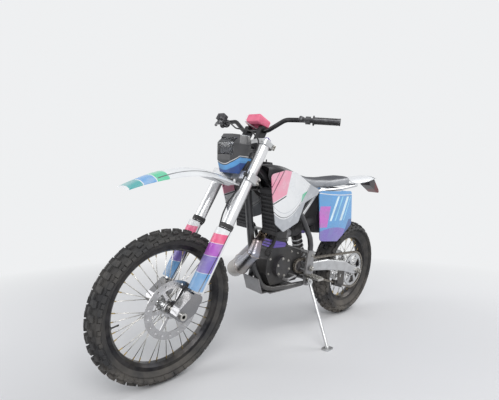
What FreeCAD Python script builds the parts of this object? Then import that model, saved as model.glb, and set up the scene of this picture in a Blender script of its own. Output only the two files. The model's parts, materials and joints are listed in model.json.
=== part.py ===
import FreeCAD, Part
import math
import os
from FreeCAD import Vector, Placement, Rotation

# Enduro motorcycle, millimetres.
# Every piece is drawn on the upright machine: X forward from the rear axle, Y to the rider's left,
# Z up from the ground. At the end the whole machine is leaned onto its side stand and moved so that
# the origin lies on the ground under the middle of its box.

# Chassis
WHEELBASE = 1480.0
RAKE = 26.5
STEM_OFFSET = 22.0
AXLE_LEAD = 35.0
FORK_HALF = 105.0
LEAN = 8.0
PIVOT = (570.0, 425.0)
SEAT_GAP = 0.3
RUN_GAP = 0.3

# Wheels: outer radius at the lug tips, height of the axle over the ground
FRONT_TYRE_R = 345.0
REAR_TYRE_R = 335.0
LUG_HEIGHT = 12.0
AXLE_R = 12.0
AXLE_BORE_R = 8.0

# Steering head and fork, measured along the steering axis from the level of the front axle
FORK_TOP = 886.0
LOWER_CLAMP = (655.0, 695.0)
UPPER_CLAMP = (FORK_TOP - 36, FORK_TOP - 10)
HEAD_R = 28.0
STEM_R = 15.0
OUTER_TUBE_R = 28.0
INNER_TUBE_R = 24.0
OUTER_TUBE_LOW = 412.0
FOOT_HALF = 27.0

# Drive
DRIVE_AXIS = (645.0, 440.0)
CHAIN_PITCH = 15.875
REAR_TEETH = 50
DRIVE_TEETH = 14
CHAIN_Y = 72.0
CHAIN_HALF = 8.0
CHAIN_PIN_HALF = 7.6
CHAIN_WAIST_HALF = 5.4

# Engine: sides of the crankcase, then each round cover: x, z, outer face, radius
CASE_LEFT = 56.0
CASE_RIGHT = -62.0
IGNITION_COVER = (800.0, 455.0, 88.0, 60.0)
CLUTCH_COVER = (704.0, 452.0, -105.0, 84.0)
PUMP_COVER = (842.0, 470.0, -92.0, 40.0)
CASE_TOP = 560.0
BARREL_TOP = 690.0
HEAD_TOP = 738.0
FIN_HEIGHTS = (572.0, 588.0, 604.0, 700.0, 714.0)
# intake line: y, height, radius of the carburettor's throat, its two ends
INTAKE = dict(y=8.0, z=628.0, throat=22.0, front=732.0, rear=672.0)

RAKE_SIN = math.sin(math.radians(RAKE))
RAKE_COS = math.cos(math.radians(RAKE))
FRONT_AXLE = Vector(WHEELBASE, 0, FRONT_TYRE_R)
REAR_AXLE = Vector(0, 0, REAR_TYRE_R)
FORK_AHEAD = STEM_OFFSET + AXLE_LEAD
HEAD_FOOT = FRONT_AXLE - Vector(RAKE_COS, 0, RAKE_SIN) * FORK_AHEAD
FORK_PLACE = Placement(HEAD_FOOT, Rotation(Vector(0, 1, 0), -RAKE))
Y_AXIS = Vector(0, 1, 0)

NODES = {}


# Plain shapes

def rod(start, end, radius):
    start = Vector(*start)
    run = Vector(*end) - start
    return Part.makeCylinder(radius, run.Length, start, run)


def sleeve(start, end, outer, inner):
    return rod(start, end, outer).cut(rod(start, end, inner))


def block(x, y, z):
    """Box from three pairs: low and high along each axis."""
    low = Vector(min(x), min(y), min(z))
    return Part.makeBox(abs(x[1] - x[0]), abs(y[1] - y[0]), abs(z[1] - z[0]), low)


def rounded_path(points, radius, closed=False):
    """Straight runs joined by tangent arcs; each arc is cut down where its runs are short."""
    points = [Vector(*p) for p in points]
    count = len(points)
    first, last = [], []
    for i, corner in enumerate(points):
        end_point = not closed and i in (0, count - 1)
        if end_point or radius == 0:
            first.append(corner)
            last.append(None)
            continue
        back = points[i - 1] - corner
        ahead = points[(i + 1) % count] - corner
        half = back.getAngle(ahead) / 2
        reach = min(radius / math.tan(half), 0.46 * min(back.Length, ahead.Length))
        back.normalize()
        ahead.normalize()
        middle = back + ahead
        middle.normalize()
        real = reach * math.tan(half)
        first.append(corner + back * reach)
        last.append((corner + middle * (real / math.sin(half) - real), corner + ahead * reach))
    edges = []
    for i in range(count):
        start = last[i - 1][1] if last[i - 1] else first[i - 1]
        if (closed or i > 0) and start.distanceToPoint(first[i]) > 1e-4:
            edges.append(Part.LineSegment(start, first[i]).toShape())
        if last[i]:
            edges.append(Part.Arc(first[i], last[i][0], last[i][1]).toShape())
    return Part.Wire(edges)


def tube(points, radius, bend=60.0):
    """Round bar along straight runs joined by tangent arcs."""
    path = rounded_path(points, bend)
    start = Vector(*points[0])
    run = Vector(*points[1]) - start
    ring = Part.Wire(Part.makeCircle(radius, start, run))
    return path.makePipeShell([ring], True, False)


def side_plate(outline, y, corner=0.0):
    """Plate standing upright along the machine: outline in (x, z), low and high Y."""
    wire = rounded_path([(x, y[0], z) for x, z in outline], corner, True)
    return Part.Face(wire).extrude(Vector(0, y[1] - y[0], 0))


def plan_plate(outline, z, corner=0.0):
    """Lying plate: outline in (x, y), low and high Z."""
    wire = rounded_path([(px, py, z[0]) for px, py in outline], corner, True)
    return Part.Face(wire).extrude(Vector(0, 0, z[1] - z[0]))


def ring_section(x, half_width, low, high, corner):
    """Rounded rectangle across the machine, at one X."""
    points = [(x, -half_width, low), (x, half_width, low), (x, half_width, high), (x, -half_width, high)]
    return rounded_path(points, corner, True)


def loft(sections, ruled=False):
    solid = Part.makeLoft(sections, True, ruled)
    if solid.Volume < 0:
        solid.reverse()
    return solid


def arch_section(x, z, half_width, drop, wall):
    """Arched strip across the machine: crown height z, edges lower by drop."""
    outer = Part.Arc(Vector(x, -half_width, z - drop), Vector(x, 0, z), Vector(x, half_width, z - drop))
    inner = Part.Arc(Vector(x, half_width, z - drop - wall), Vector(x, 0, z - wall),
                     Vector(x, -half_width, z - drop - wall))
    left = Part.LineSegment(Vector(x, half_width, z - drop), Vector(x, half_width, z - drop - wall))
    right = Part.LineSegment(Vector(x, -half_width, z - drop - wall), Vector(x, -half_width, z - drop))
    return Part.Wire([outer.toShape(), left.toShape(), inner.toShape(), right.toShape()])


def mirrored(shape):
    return shape.mirror(Vector(0, 0, 0), Y_AXIS)


def both(shape):
    """A left-hand piece and its right-hand twin."""
    return [shape, mirrored(shape)]


def fused(shapes):
    whole = shapes[0].multiFuse(shapes[1:])
    return whole.removeSplitter()


def keep(name, shapes):
    """Name the solids of one sub-part."""
    shapes = shapes if isinstance(shapes, list) else [shapes]
    solids = [s for shape in shapes for s in shape.Solids]
    NODES[name] = Part.makeCompound(solids) if len(solids) > 1 else solids[0]


def on_fork(shapes):
    """Put pieces drawn about the steering axis (x ahead of it, z along it) onto the machine."""
    shapes = shapes if isinstance(shapes, list) else [shapes]
    for shape in shapes:
        shape.Placement = FORK_PLACE.multiply(shape.Placement)
    return shapes


def at_wheel(shape, axle):
    shape.translate(axle)
    return shape


# Tyres

def lug(corner_a, corner_b, corner_c, corner_d, spread, span, height, taper):
    """Four side faces and the top of one lug on a flat facet, and the outline of its foot."""
    low_mid = (corner_a + corner_b) * 0.5
    high_mid = (corner_d + corner_c) * 0.5
    along = (corner_b - corner_a)
    along.normalize()
    across = high_mid - low_mid
    width = across.Length
    across.normalize()
    normal = along.cross(across)
    normal.normalize()
    outward = low_mid + high_mid
    outward.y = 0
    if normal.dot(outward) < 0:
        normal = normal * -1
    centre = low_mid + across * (width * 0.5)
    half = width * spread * 0.5

    def ring(reach, side, lift):
        ends = ((-reach, -side), (reach, -side), (reach, side), (-reach, side))
        return [centre + along * a + across * b + normal * lift for a, b in ends]

    foot = ring(span / 2, half, 0)
    top = ring(span / 2 - taper, half - taper, height)
    sides = [[foot[i], foot[(i + 1) % 4], top[(i + 1) % 4], top[i]] for i in range(4)]
    return foot, sides + [top]


def polygon(points):
    return Part.makePolygon(points + [points[0]])


def knobbly_tyre(section, lug_rows, facets):
    """Ring of flat facets with lugs. section: (y, radius) from bead to bead. lug_rows: strip number,
    facet parity, share of the strip's width, length round the tyre, height."""
    faces = []
    closed_section = section + [section[0]]
    for k in range(facets):
        angles = [math.tau * (k + e - 0.5) / facets - math.pi / 2 for e in (0, 1)]

        def at(point, angle):
            return Vector(point[1] * math.cos(angle), point[0], point[1] * math.sin(angle))

        for j in range(len(section)):
            near, far = closed_section[j], closed_section[j + 1]
            quad = [at(near, angles[0]), at(near, angles[1]), at(far, angles[1]), at(far, angles[0])]
            row = [r for r in lug_rows if r[0] == j and k % 2 == r[1]]
            if not row:
                faces.append(Part.Face(polygon(quad)))
                continue
            _, _, spread, span, height = row[0]
            foot, sides = lug(*quad, spread, span, height, 1.5)
            faces += Part.Face(polygon(quad)).cut(Part.Face(polygon(foot))).Faces
            faces += [Part.Face(polygon(side)) for side in sides]
    skin = Part.makeCompound(faces)
    skin.sewShape()
    tyre = Part.makeSolid(skin.Shells[0])
    if tyre.Volume < 0:
        tyre.reverse()
    return tyre


# Wheels. Each wheel is drawn about its own axle and moved there.

# side, bead radius of the rim, half width of the tyre at the lugs, half width of the rim
WHEELS = {
    "front": dict(axle=FRONT_AXLE, outer=FRONT_TYRE_R, half=42.0, bead=267.0, rim_half=26.0, facets=36,
                  hub_r=22.0, flange_y=27.0, flange_r=31.0, disc_y=52.0, disc_r=130.0, disc_hole=62.0,
                  hub_left=44.0, hub_right=-44.0),
    "rear": dict(axle=REAR_AXLE, outer=REAR_TYRE_R, half=55.0, bead=229.0, rim_half=33.0, facets=30,
                 hub_r=30.0, flange_y=30.0, flange_r=42.0, disc_y=-62.0, disc_r=110.0, disc_hole=52.0,
                 hub_left=46.0, hub_right=-48.0),
}
DISC_HALF = 2.0
RIM_DEPTH = 17.0
RIM_FLANGE = 11.0
SPOKE_R = 1.9
SPOKE_PAIRS = 9
SPOKE_SWING = 50.0
FLANGE_HALF = 3.0
BEAD_INSET = 5.6
# share of the half width, share of the height from the rim flange to the crown
TYRE_SIDE = [(0.86, 0.22), (0.90, 0.58), (0.68, 0.87), (0.25, 1.0)]


def make_tyre(name, wheel):
    """Section from bead to bead; lug rows alternate centre with edges, and the two between."""
    corner_share = 1 / math.cos(math.pi / wheel["facets"])
    outer = wheel["outer"] - LUG_HEIGHT
    half = wheel["half"]
    seat = wheel["bead"] + SEAT_GAP
    over_flange = wheel["bead"] + RIM_FLANGE + SEAT_GAP
    tall = outer - over_flange
    bead_half = wheel["rim_half"] - BEAD_INSET
    walls = [(bead_half, seat), (bead_half, over_flange)]
    walls += [(half * share, over_flange + tall * up) for share, up in TYRE_SIDE]
    left = [(-y, r * corner_share) for y, r in walls]
    right = [(y, r * corner_share) for y, r in reversed(walls)]
    pitch = math.tau * outer / wheel["facets"]
    long = pitch * 0.58
    rows = [(3, 0, 0.86, long, LUG_HEIGHT * 0.75), (7, 0, 0.86, long, LUG_HEIGHT * 0.75),
            (5, 0, 0.92, long, LUG_HEIGHT), (4, 1, 0.86, long, LUG_HEIGHT * 0.95),
            (6, 1, 0.86, long, LUG_HEIGHT * 0.95)]
    tyre = knobbly_tyre(left + right, rows, wheel["facets"])
    keep(name + "_tyre", at_wheel(tyre, wheel["axle"]))


def make_rim(name, wheel):
    """Drop-centre rim: bead seats, raised flanges, hollow well towards the spokes."""
    half, bead = wheel["rim_half"], wheel["bead"]
    well = bead - RIM_DEPTH
    points = [(-half, bead + RIM_FLANGE), (-half + 3, bead + RIM_FLANGE), (-half + 5, bead),
              (half - 5, bead), (half - 3, bead + RIM_FLANGE), (half, bead + RIM_FLANGE), (half, bead - 6),
              (half * 0.42, well), (-half * 0.42, well), (-half, bead - 6)]
    outline = [Vector(0, y, r) for y, r in points]
    rim = Part.Face(polygon(outline)).revolve(Vector(0, 0, 0), Y_AXIS, 360)
    keep(name + "_rim", at_wheel(rim, wheel["axle"]))


def make_spokes(name, wheel):
    """Crossed wire spokes from both hub flanges to the rim well, their heads in and out of the flange."""
    spokes = []
    start_r = wheel["flange_r"] - 4
    end_r = wheel["bead"] - RIM_DEPTH - 2 * SEAT_GAP
    head = FLANGE_HALF + SPOKE_R + 4 * SEAT_GAP
    step = 360 / SPOKE_PAIRS
    for side in (-1, 1):
        for i in range(SPOKE_PAIRS):
            for turn, lead in ((0, -1), (step / 2, 1)):
                rim_angle = math.radians(i * step + turn + side * step / 8)
                hub_angle = rim_angle + math.radians(lead * SPOKE_SWING)
                hub_y = side * (wheel["flange_y"] + lead * head)
                start = (start_r * math.cos(hub_angle), hub_y, start_r * math.sin(hub_angle))
                end = (end_r * math.cos(rim_angle), side * 5, end_r * math.sin(rim_angle))
                spokes.append(rod(start, end, SPOKE_R))
    keep(name + "_spokes", [at_wheel(spoke, wheel["axle"]) for spoke in spokes])


def revolved(outline):
    """Solid of revolution about the wheel's axle: outline in (y, radius)."""
    points = [Vector(0, y, r) for y, r in outline]
    return Part.Face(polygon(points)).revolve(Vector(0, 0, 0), Y_AXIS, 360)


def make_hub(name, wheel):
    """Barrel, two spoke flanges and the bearing ends, bored for the axle."""
    left_end, right_end = wheel["hub_left"], wheel["hub_right"]
    bore = AXLE_R + RUN_GAP
    y, r = wheel["flange_y"], wheel["flange_r"]
    hub_r = wheel["hub_r"]
    outline = [(right_end, bore), (right_end, hub_r), (-y - FLANGE_HALF, hub_r), (-y - FLANGE_HALF, r),
               (-y + FLANGE_HALF, r), (-y + FLANGE_HALF, hub_r - 2), (0, hub_r - 5),
               (y - FLANGE_HALF, hub_r - 2), (y - FLANGE_HALF, r), (y + FLANGE_HALF, r),
               (y + FLANGE_HALF, hub_r), (left_end, hub_r), (left_end, bore)]
    keep(name + "_hub", at_wheel(revolved(outline), wheel["axle"]))


def make_disc(name, wheel, arms):
    """Brake disc: outer friction ring carried on arms from a ring seated against the hub's end."""
    hub_end = wheel["hub_left"] if wheel["disc_y"] > 0 else wheel["hub_right"]
    y, r, hole = wheel["disc_y"], wheel["disc_r"], wheel["disc_hole"]
    low, high = y - DISC_HALF, y + DISC_HALF
    bore = AXLE_R + 8
    band = sleeve((0, low, 0), (0, high, 0), r, r - 34)
    inner = sleeve((0, low, 0), (0, high, 0), hole - 22, bore)
    seat = sleeve((0, hub_end, 0), (0, low if hub_end < low else high, 0), hole - 26, bore)
    pieces = [band, inner, seat]
    for i in range(arms):
        arm = block((hole - 24, r - 33), (low, high), (-7, 7))
        arm.rotate(Vector(0, 0, 0), Y_AXIS, 360 * i / arms)
        pieces.append(arm)
    disc = fused(pieces)
    for i in range(arms * 3):
        angle = math.radians(360 * (i + 0.5) / (arms * 3))
        place = Vector((r - 15) * math.cos(angle), 0, (r - 15) * math.sin(angle))
        disc = disc.cut(rod(place + Vector(0, low - 1, 0), place + Vector(0, high + 1, 0), 4.5))
    keep(name + "_brake_disc", at_wheel(disc, wheel["axle"]))


def make_rear_sprocket():
    """Toothed ring on arms, bolted against the left end of the rear hub."""
    hub_end = WHEELS["rear"]["hub_left"]
    pitch_r = CHAIN_PITCH / (2 * math.sin(math.pi / REAR_TEETH))
    tip = pitch_r - CHAIN_PIN_HALF - RUN_GAP
    root = tip - 4
    outline = []
    for i in range(REAR_TEETH):
        for share, r in ((0.0, root), (0.25, root), (0.45, tip), (0.8, tip)):
            angle = math.tau * (i + share) / REAR_TEETH
            outline.append((r * math.cos(angle), r * math.sin(angle)))
    low, high = CHAIN_Y - 3, CHAIN_Y + 3
    disc = side_plate(outline, (low, high))
    windows = 6
    for i in range(windows):
        a0 = math.radians(360 * i / windows + 9)
        a1 = math.radians(360 * (i + 1) / windows - 9)
        far, near = root - 14, 48
        corners = [(near * math.cos(a0), near * math.sin(a0)), (far * math.cos(a0), far * math.sin(a0)),
                   (far * math.cos((a0 + a1) / 2), far * math.sin((a0 + a1) / 2)),
                   (far * math.cos(a1), far * math.sin(a1)), (near * math.cos(a1), near * math.sin(a1))]
        disc = disc.cut(side_plate(corners, (low - 1, high + 1), 6))
    bore = AXLE_R + 8
    disc = disc.cut(rod((0, low - 1, 0), (0, high + 1, 0), bore))
    seat = sleeve((0, hub_end, 0), (0, low, 0), 44, bore)
    keep("rear_sprocket", at_wheel(fused([disc, seat]), REAR_AXLE))


def make_wheels():
    for name, wheel in WHEELS.items():
        make_tyre(name, wheel)
        make_rim(name, wheel)
        make_spokes(name, wheel)
        make_hub(name, wheel)
        make_disc(name, wheel, 6 if name == "front" else 5)
    make_rear_sprocket()


# Front fork and steering

def make_clamps():
    """Two forged clamps, each holding both fork tubes; the lower one carries the steering stem."""
    for name, (low, high), reach in (("lower_clamp", LOWER_CLAMP, 44), ("upper_clamp", UPPER_CLAMP, 40)):
        outline = [(-25, -17), (-25, 17), (STEM_OFFSET - 34, FORK_HALF + reach - 8),
                   (STEM_OFFSET + 34, FORK_HALF + reach - 8), (STEM_OFFSET + 34, FORK_HALF - 30),
                   (STEM_OFFSET + 14, 0), (STEM_OFFSET + 34, -FORK_HALF + 30),
                   (STEM_OFFSET + 34, -FORK_HALF - reach + 8), (STEM_OFFSET - 34, -FORK_HALF - reach + 8)]
        clamp = plan_plate(outline, (low, high), 14)
        for side in (-1, 1):
            y = side * FORK_HALF
            clamp = clamp.cut(rod((STEM_OFFSET, y, low - 1), (STEM_OFFSET, y, high + 1), OUTER_TUBE_R))
            slot = block((STEM_OFFSET - 40, STEM_OFFSET - 20), (y - 2, y + 2), (low - 1, high + 1))
            clamp = clamp.cut(slot)
        if name == "lower_clamp":
            clamp = clamp.fuse(rod((0, 0, high - 1), (0, 0, UPPER_CLAMP[0] - SEAT_GAP), STEM_R))
        else:
            corners = [math.tau * k / 6 for k in range(6)]
            nut = plan_plate([(17 * math.cos(c), 17 * math.sin(c)) for c in corners], (high, high + 10))
            clamp = clamp.fuse(nut)
        keep(name, on_fork(clamp))


def make_fork_tubes():
    """Upside-down fork: thick upper tubes in the clamps, bright sliders below with cast axle feet."""
    outer, inner = [], []
    for side in (-1, 1):
        y = side * FORK_HALF
        at = (STEM_OFFSET, y)
        top = rod((*at, OUTER_TUBE_LOW), (*at, FORK_TOP - 8), OUTER_TUBE_R)
        seal = rod((*at, OUTER_TUBE_LOW), (*at, OUTER_TUBE_LOW + 22), OUTER_TUBE_R + 3)
        cap = rod((*at, FORK_TOP - 8), (*at, FORK_TOP), OUTER_TUBE_R - 7)
        tube_solid = fused([top, seal, cap])
        tube_solid = tube_solid.cut(rod((*at, OUTER_TUBE_LOW - 1), (*at, OUTER_TUBE_LOW + 60), INNER_TUBE_R))
        outer.append(tube_solid)
        slider = rod((*at, 62), (*at, OUTER_TUBE_LOW + 60), INNER_TUBE_R)
        foot_y = (y - FOOT_HALF, y + FOOT_HALF)
        foot = side_plate([(STEM_OFFSET - 26, 30), (STEM_OFFSET - 26, 104), (STEM_OFFSET + 26, 104),
                           (FORK_AHEAD + 26, 22), (FORK_AHEAD + 26, -22), (FORK_AHEAD - 22, -26)],
                          foot_y, 14)
        leg = slider.fuse(foot)
        leg = leg.cut(rod((FORK_AHEAD, y - 40, 0), (FORK_AHEAD, y + 40, 0), AXLE_R))
        inner.append(leg)
    keep("fork_outer_tubes", on_fork(outer))
    keep("fork_sliders", on_fork(inner))


def make_fork_guards():
    """Curved plastic guards over the front and outer side of each slider."""
    guards = []
    for side in (-1, 1):
        y = side * FORK_HALF
        outer = rod((STEM_OFFSET, y, 112), (STEM_OFFSET, y, 404), 41)
        hollow = rod((STEM_OFFSET, y, 111), (STEM_OFFSET, y, 405), 37)
        rear_gap = block((STEM_OFFSET - 60, STEM_OFFSET - 8), (y - 60, y + 60), (100, 420))
        inner_gap = block((STEM_OFFSET - 60, STEM_OFFSET + 14), (y - side * 60, y), (100, 420))
        guard = outer.cut(hollow).cut(rear_gap).cut(inner_gap)
        boss_y = (y + side * (INNER_TUBE_R + SEAT_GAP), y + side * 38)
        boss = block((STEM_OFFSET - 8, STEM_OFFSET + 12), boss_y, (112, 126))
        guards.append(guard.fuse(boss))
    keep("fork_guards", on_fork(guards))


FENDER_WALL = 4.0
# ahead of the front axle, crown over the axle, half width, drop of the edges
FRONT_FENDER = [(-352, 551, 58, 10), (-290, 573, 78, 18), (-150, 609, 92, 26), (0, 607, 90, 26),
                (130, 569, 74, 16), (234, 519, 46, 6)]


def make_front_fender():
    sections = [arch_section(WHEELBASE + ahead, FRONT_TYRE_R + crown, half, drop, FENDER_WALL)
                for ahead, crown, half, drop in FRONT_FENDER]
    bosses = [on_fork(rod((a, y, LOWER_CLAMP[0] - 15), (a, y, LOWER_CLAMP[0] - SEAT_GAP), 8))[0]
              for a in (8, 34) for y in (-30, 30)]
    keep("front_fender", fused([loft(sections)] + bosses))


# Handlebar, in fork coordinates: ahead, left, height over the upper clamp
BAR_R = 11.0
BAR_SHAPE = [(26, 0, 62), (26, 84, 62), (32, 176, 120), (18, 262, 126), (-58, 410, 164)]
BAR_POINTS = [(a, y, UPPER_CLAMP[1] + rise) for a, y, rise in BAR_SHAPE]
GRIP_LENGTH = 120.0
GRIP_R = 16.5
CLAMP_Y = (34, 62)
CYLINDER_END = 24.0


def bar_left_run():
    start, end = Vector(*BAR_POINTS[-2]), Vector(*BAR_POINTS[-1])
    run = end - start
    return start, end, run * (1 / run.Length)


def bar_tube(radius):
    points = [(a, -y, s) for a, y, s in reversed(BAR_POINTS[1:])] + BAR_POINTS[1:]
    return tube(points, radius, 70)


def make_handlebar():
    keep("handlebar", on_fork(bar_tube(BAR_R)))
    a, _, s = BAR_POINTS[0]
    risers = []
    for y0, y1 in (CLAMP_Y, (-CLAMP_Y[1], -CLAMP_Y[0])):
        post = side_plate([(a - 22, UPPER_CLAMP[1] + SEAT_GAP), (a + 18, UPPER_CLAMP[1] + SEAT_GAP),
                           (a + 22, s + 20), (a - 22, s + 20)], (y0, y1), 8)
        post = post.cut(rod((a, y0 - 1, s), (a, y1 + 1, s), BAR_R + SEAT_GAP))
        risers.append(post)
    keep("bar_risers", on_fork(risers))
    pad = plan_plate([(a - 22, -64), (a + 58, -50), (a + 58, 50), (a - 22, 64)],
                     (s + 20 + SEAT_GAP, s + 68), 12)
    keep("bar_pad", on_fork(pad))


def make_grips():
    start, end, along = bar_left_run()
    inner = end - along * GRIP_LENGTH
    left = rod(inner, end + along * 3, GRIP_R).fuse(rod(inner, inner + along * 6, GRIP_R + 7))
    left = left.cut(rod(inner - along, end, BAR_R))
    keep("grips", on_fork(both(left)))


def lever_perch():
    """Middle of the left perch on the bar, the bar's direction there, and the way the lever points."""
    _, end, along = bar_left_run()
    forward = Vector(1, 0, -0.55)
    forward.normalize()
    return end - along * (GRIP_LENGTH + 22), along, forward


def brake_cylinder():
    """Middle of the master cylinder ahead of the right perch."""
    perch_at, _, forward = lever_perch()
    return Vector(perch_at.x, -perch_at.y, perch_at.z) + forward * 44


def make_controls():
    """Clutch lever on the left, brake lever with its master cylinder on the right."""
    perch_at, along, forward = lever_perch()
    collar = rod(perch_at - along * 11, perch_at + along * 11, BAR_R + 7)
    collar = collar.cut(rod(perch_at - along * 12, perch_at + along * 12, BAR_R + SEAT_GAP))
    body_end = perch_at + forward * 52
    body = rod(perch_at + forward * (BAR_R + 3), body_end, 10)
    pivot = rod(body_end - Vector(0, 0, 9), body_end + Vector(0, 0, 9), 12)
    bend, lever_end = body_end + along * 60 + forward * 12, body_end + along * 165 - forward * 4
    lever = tube([body_end, bend, lever_end], 6, 120)
    tip = body_end + along * 163 - forward * 4
    knob = rod(tip - along * 5, tip + along * 6, 8.5)
    left = fused([collar, body, pivot, lever, knob])
    right = mirrored(left)
    hand = brake_cylinder()
    tank_low = hand + Vector(0, 0, 8)
    cylinder = rod(hand + Vector(0, -22, 0), hand + Vector(0, CYLINDER_END, 0), 13)
    reservoir = block((tank_low.x - 10, tank_low.x + 26), (tank_low.y - 26, tank_low.y + 26),
                      (tank_low.z, tank_low.z + 34))
    right = fused([right, cylinder, reservoir])
    bar_room = bar_tube(BAR_R + SEAT_GAP)
    levers = [max(lever.cut(bar_room).Solids, key=lambda solid: solid.Volume) for lever in (left, right)]
    keep("hand_levers", on_fork(levers))


MASK_WALL = 3.5
MASK_WING = 30.0
# from the front axle: height, front face behind it, half width, rear edge behind it
MASK_SECTIONS = [(605, 268, 64, 302.5), (665, 254, 84, 330), (745, 244, 80, 352), (789, 266, 56, 360)]
MASK_FRONT = WHEELBASE - 244
LAMP = dict(half=58.0, low=FRONT_TYRE_R + 691, high=FRONT_TYRE_R + 771)
STRAP_HEIGHTS = (FRONT_TYRE_R + 677, FRONT_TYRE_R + 719)
STRAP_FRONT = WHEELBASE - 330


def mask_section(up, behind, half, edge_behind, inset=0.0):
    z, back = FRONT_TYRE_R + up, WHEELBASE - edge_behind
    front, half = WHEELBASE - behind - inset, half - inset
    bend, flat = front - MASK_WING, half * 0.55
    points = [(back, -half, z), (bend, -half, z), (front, -flat, z), (front, flat, z), (bend, half, z),
              (back, half, z)]
    return rounded_path(points, 0, True)


def make_mask():
    """Number mask round the head lamp: a hollow shell open to the rear, with a window for the lens."""
    shell = loft([mask_section(*row) for row in MASK_SECTIONS], True)
    hollow = []
    for i, (up, behind, half, edge_behind) in enumerate(MASK_SECTIONS):
        lift = -1 if i == 0 else (1 if i == len(MASK_SECTIONS) - 1 else 0)
        hollow.append(mask_section(up + lift, behind, half, edge_behind + 30, MASK_WALL))
    shell = shell.cut(loft(hollow, True))
    half, low, high = LAMP["half"], LAMP["low"], LAMP["high"]
    window = block((MASK_FRONT - 66, MASK_FRONT + 24), (-half, half), (low, high))
    shell = shell.cut(window)
    keep("headlight_mask", fused([shell] + both(mask_straps())))
    glass = loft([mask_section(*row) for row in MASK_SECTIONS], True).common(
        block((MASK_FRONT - 56, MASK_FRONT + 24), (-half + SEAT_GAP, half - SEAT_GAP),
              (low + SEAT_GAP, high - SEAT_GAP)))
    keep("headlight", glass)


def mask_straps():
    """Two strap lugs that reach from the mask's wing back to the fork tube."""
    low, high = on_axis(OUTER_TUBE_LOW, STEM_OFFSET, FORK_HALF), on_axis(FORK_TOP, STEM_OFFSET, FORK_HALF)
    tube_room = rod(low, high, OUTER_TUBE_R + SEAT_GAP)
    straps = []
    for z in STRAP_HEIGHTS:
        share = (z - low.z) / (high.z - low.z)
        tube_x = low.x + (high.x - low.x) * share
        straps.append(block((tube_x, STRAP_FRONT), (76, 82), (z - 8, z + 8)).cut(tube_room))
    return Part.makeCompound(straps)


def make_front_axle():
    """Hollow front axle through both fork feet, with spacers up to the hub and a nut."""
    end = FORK_HALF + FOOT_HALF
    pieces = [rod((0, -end - 4, 0), (0, end + 4, 0), AXLE_R - 0.05)]
    for side, hub_end in ((1, WHEELS["front"]["hub_left"]), (-1, -WHEELS["front"]["hub_right"])):
        near, far = side * (hub_end + RUN_GAP), side * (FORK_HALF - FOOT_HALF - SEAT_GAP)
        pieces.append(rod((0, near, 0), (0, far, 0), 17))
    pieces.append(rod((0, -end - 14, 0), (0, -end - SEAT_GAP, 0), 19))
    pieces.append(rod((0, end + SEAT_GAP, 0), (0, end + 10, 0), 16))
    solid = fused(pieces)
    solid = solid.cut(rod((0, -end - 20, 0), (0, end + 20, 0), AXLE_BORE_R))
    keep("front_axle", at_wheel(solid, FRONT_AXLE))


CALIPER = dict(angle=155.0, inset=17.0, half_long=44.0, half_deep=24.0)


def caliper_point(along, out, y=0.0):
    """Place on the front caliper about the axle: along its length and away from the axle."""
    angle = math.radians(CALIPER["angle"])
    r = WHEELS["front"]["disc_r"] - CALIPER["inset"] + out
    cos, sin = math.cos(angle), math.sin(angle)
    return Vector(r * cos + along * sin, y, r * sin - along * cos)


def make_front_caliper():
    """Two-piston caliper straddling the front disc, bolted to the left fork foot."""
    wheel = WHEELS["front"]
    long, deep = CALIPER["half_long"], CALIPER["half_deep"]
    y = wheel["disc_y"]
    corners = [caliper_point(a, b) for a, b in ((-long, -deep), (long, -deep), (long, deep), (-long, deep))]
    body = side_plate([(c.x, c.z) for c in corners], (y - 22, y + 26), 12)
    slot = sleeve((0, y - DISC_HALF - 3, 0), (0, y + DISC_HALF + 3, 0), wheel["disc_r"] + 5, 20)
    keep("front_caliper", at_wheel(body.cut(slot), FRONT_AXLE))


# Frame

RAIL_R = 16.0
DOWN_TUBE_R = 19.0
CRADLE_R = 14.0
PLATE_Y = (93.0, 105.0)
PIVOT_BOLT_R = 10.0
PIVOT_TUBE_R = 23.0
CROSS_R = 11.0
# where the rails, the down tube and the gusset meet the head tube, behind and over the front axle
SPINE_RAIL = [(WHEELBASE - 410, 14, FRONT_TYRE_R + 687), (900, 56, 885), (700, 96, 745), (596, 99, 610),
              (580, 99, 560), (580, 99, 535.3)]
CRADLE_RAIL = [(948, 6, 452), (918, 50, 352), (850, 66, 333), (640, 84, 333), (602, 99, 338)]
DOWN_TUBE = [(WHEELBASE - 404, 0, FRONT_TYRE_R + 644), (985, 0, 600), (946, 0, 440)]
GUSSET = dict(x=WHEELBASE - 400, z=FRONT_TYRE_R + 663, length=120.0, narrow=20.0, wide=48.0)
UPPER_CROSS = (590.0, 520.0)
LOWER_CROSS = (572.0, 356.0)
SHOCK_TOP = (640.0, -22.0, 762.0)
SHOCK_LOW = (462.0, -22.0, 340.0)
SPRING_COILS = 8
RADIATOR = dict(x=962.0, z=772.0, inner=46.0, outer=154.0, half_thick=15.0, half_high=118.0, tilt=12.0)
RADIATOR_STRAPS = (665.0, 872.0)


def on_axis(s, a=0.0, y=0.0):
    return FORK_PLACE.multVec(Vector(a, y, s))


def head_cylinder(radius, spare=0.0):
    low = on_axis(LOWER_CLAMP[1] + RUN_GAP - spare)
    high = on_axis(UPPER_CLAMP[0] - RUN_GAP + spare)
    return rod(low, high, radius)


def spine_rails(extra=0.0):
    left = tube(SPINE_RAIL, RAIL_R + extra, 120)
    return both(left)


def down_tube_x(z):
    """Centre of the down tube at a height on its long run."""
    top, low = DOWN_TUBE[0], DOWN_TUBE[1]
    return low[0] + (top[0] - low[0]) * (z - low[2]) / (top[2] - low[2])


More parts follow.
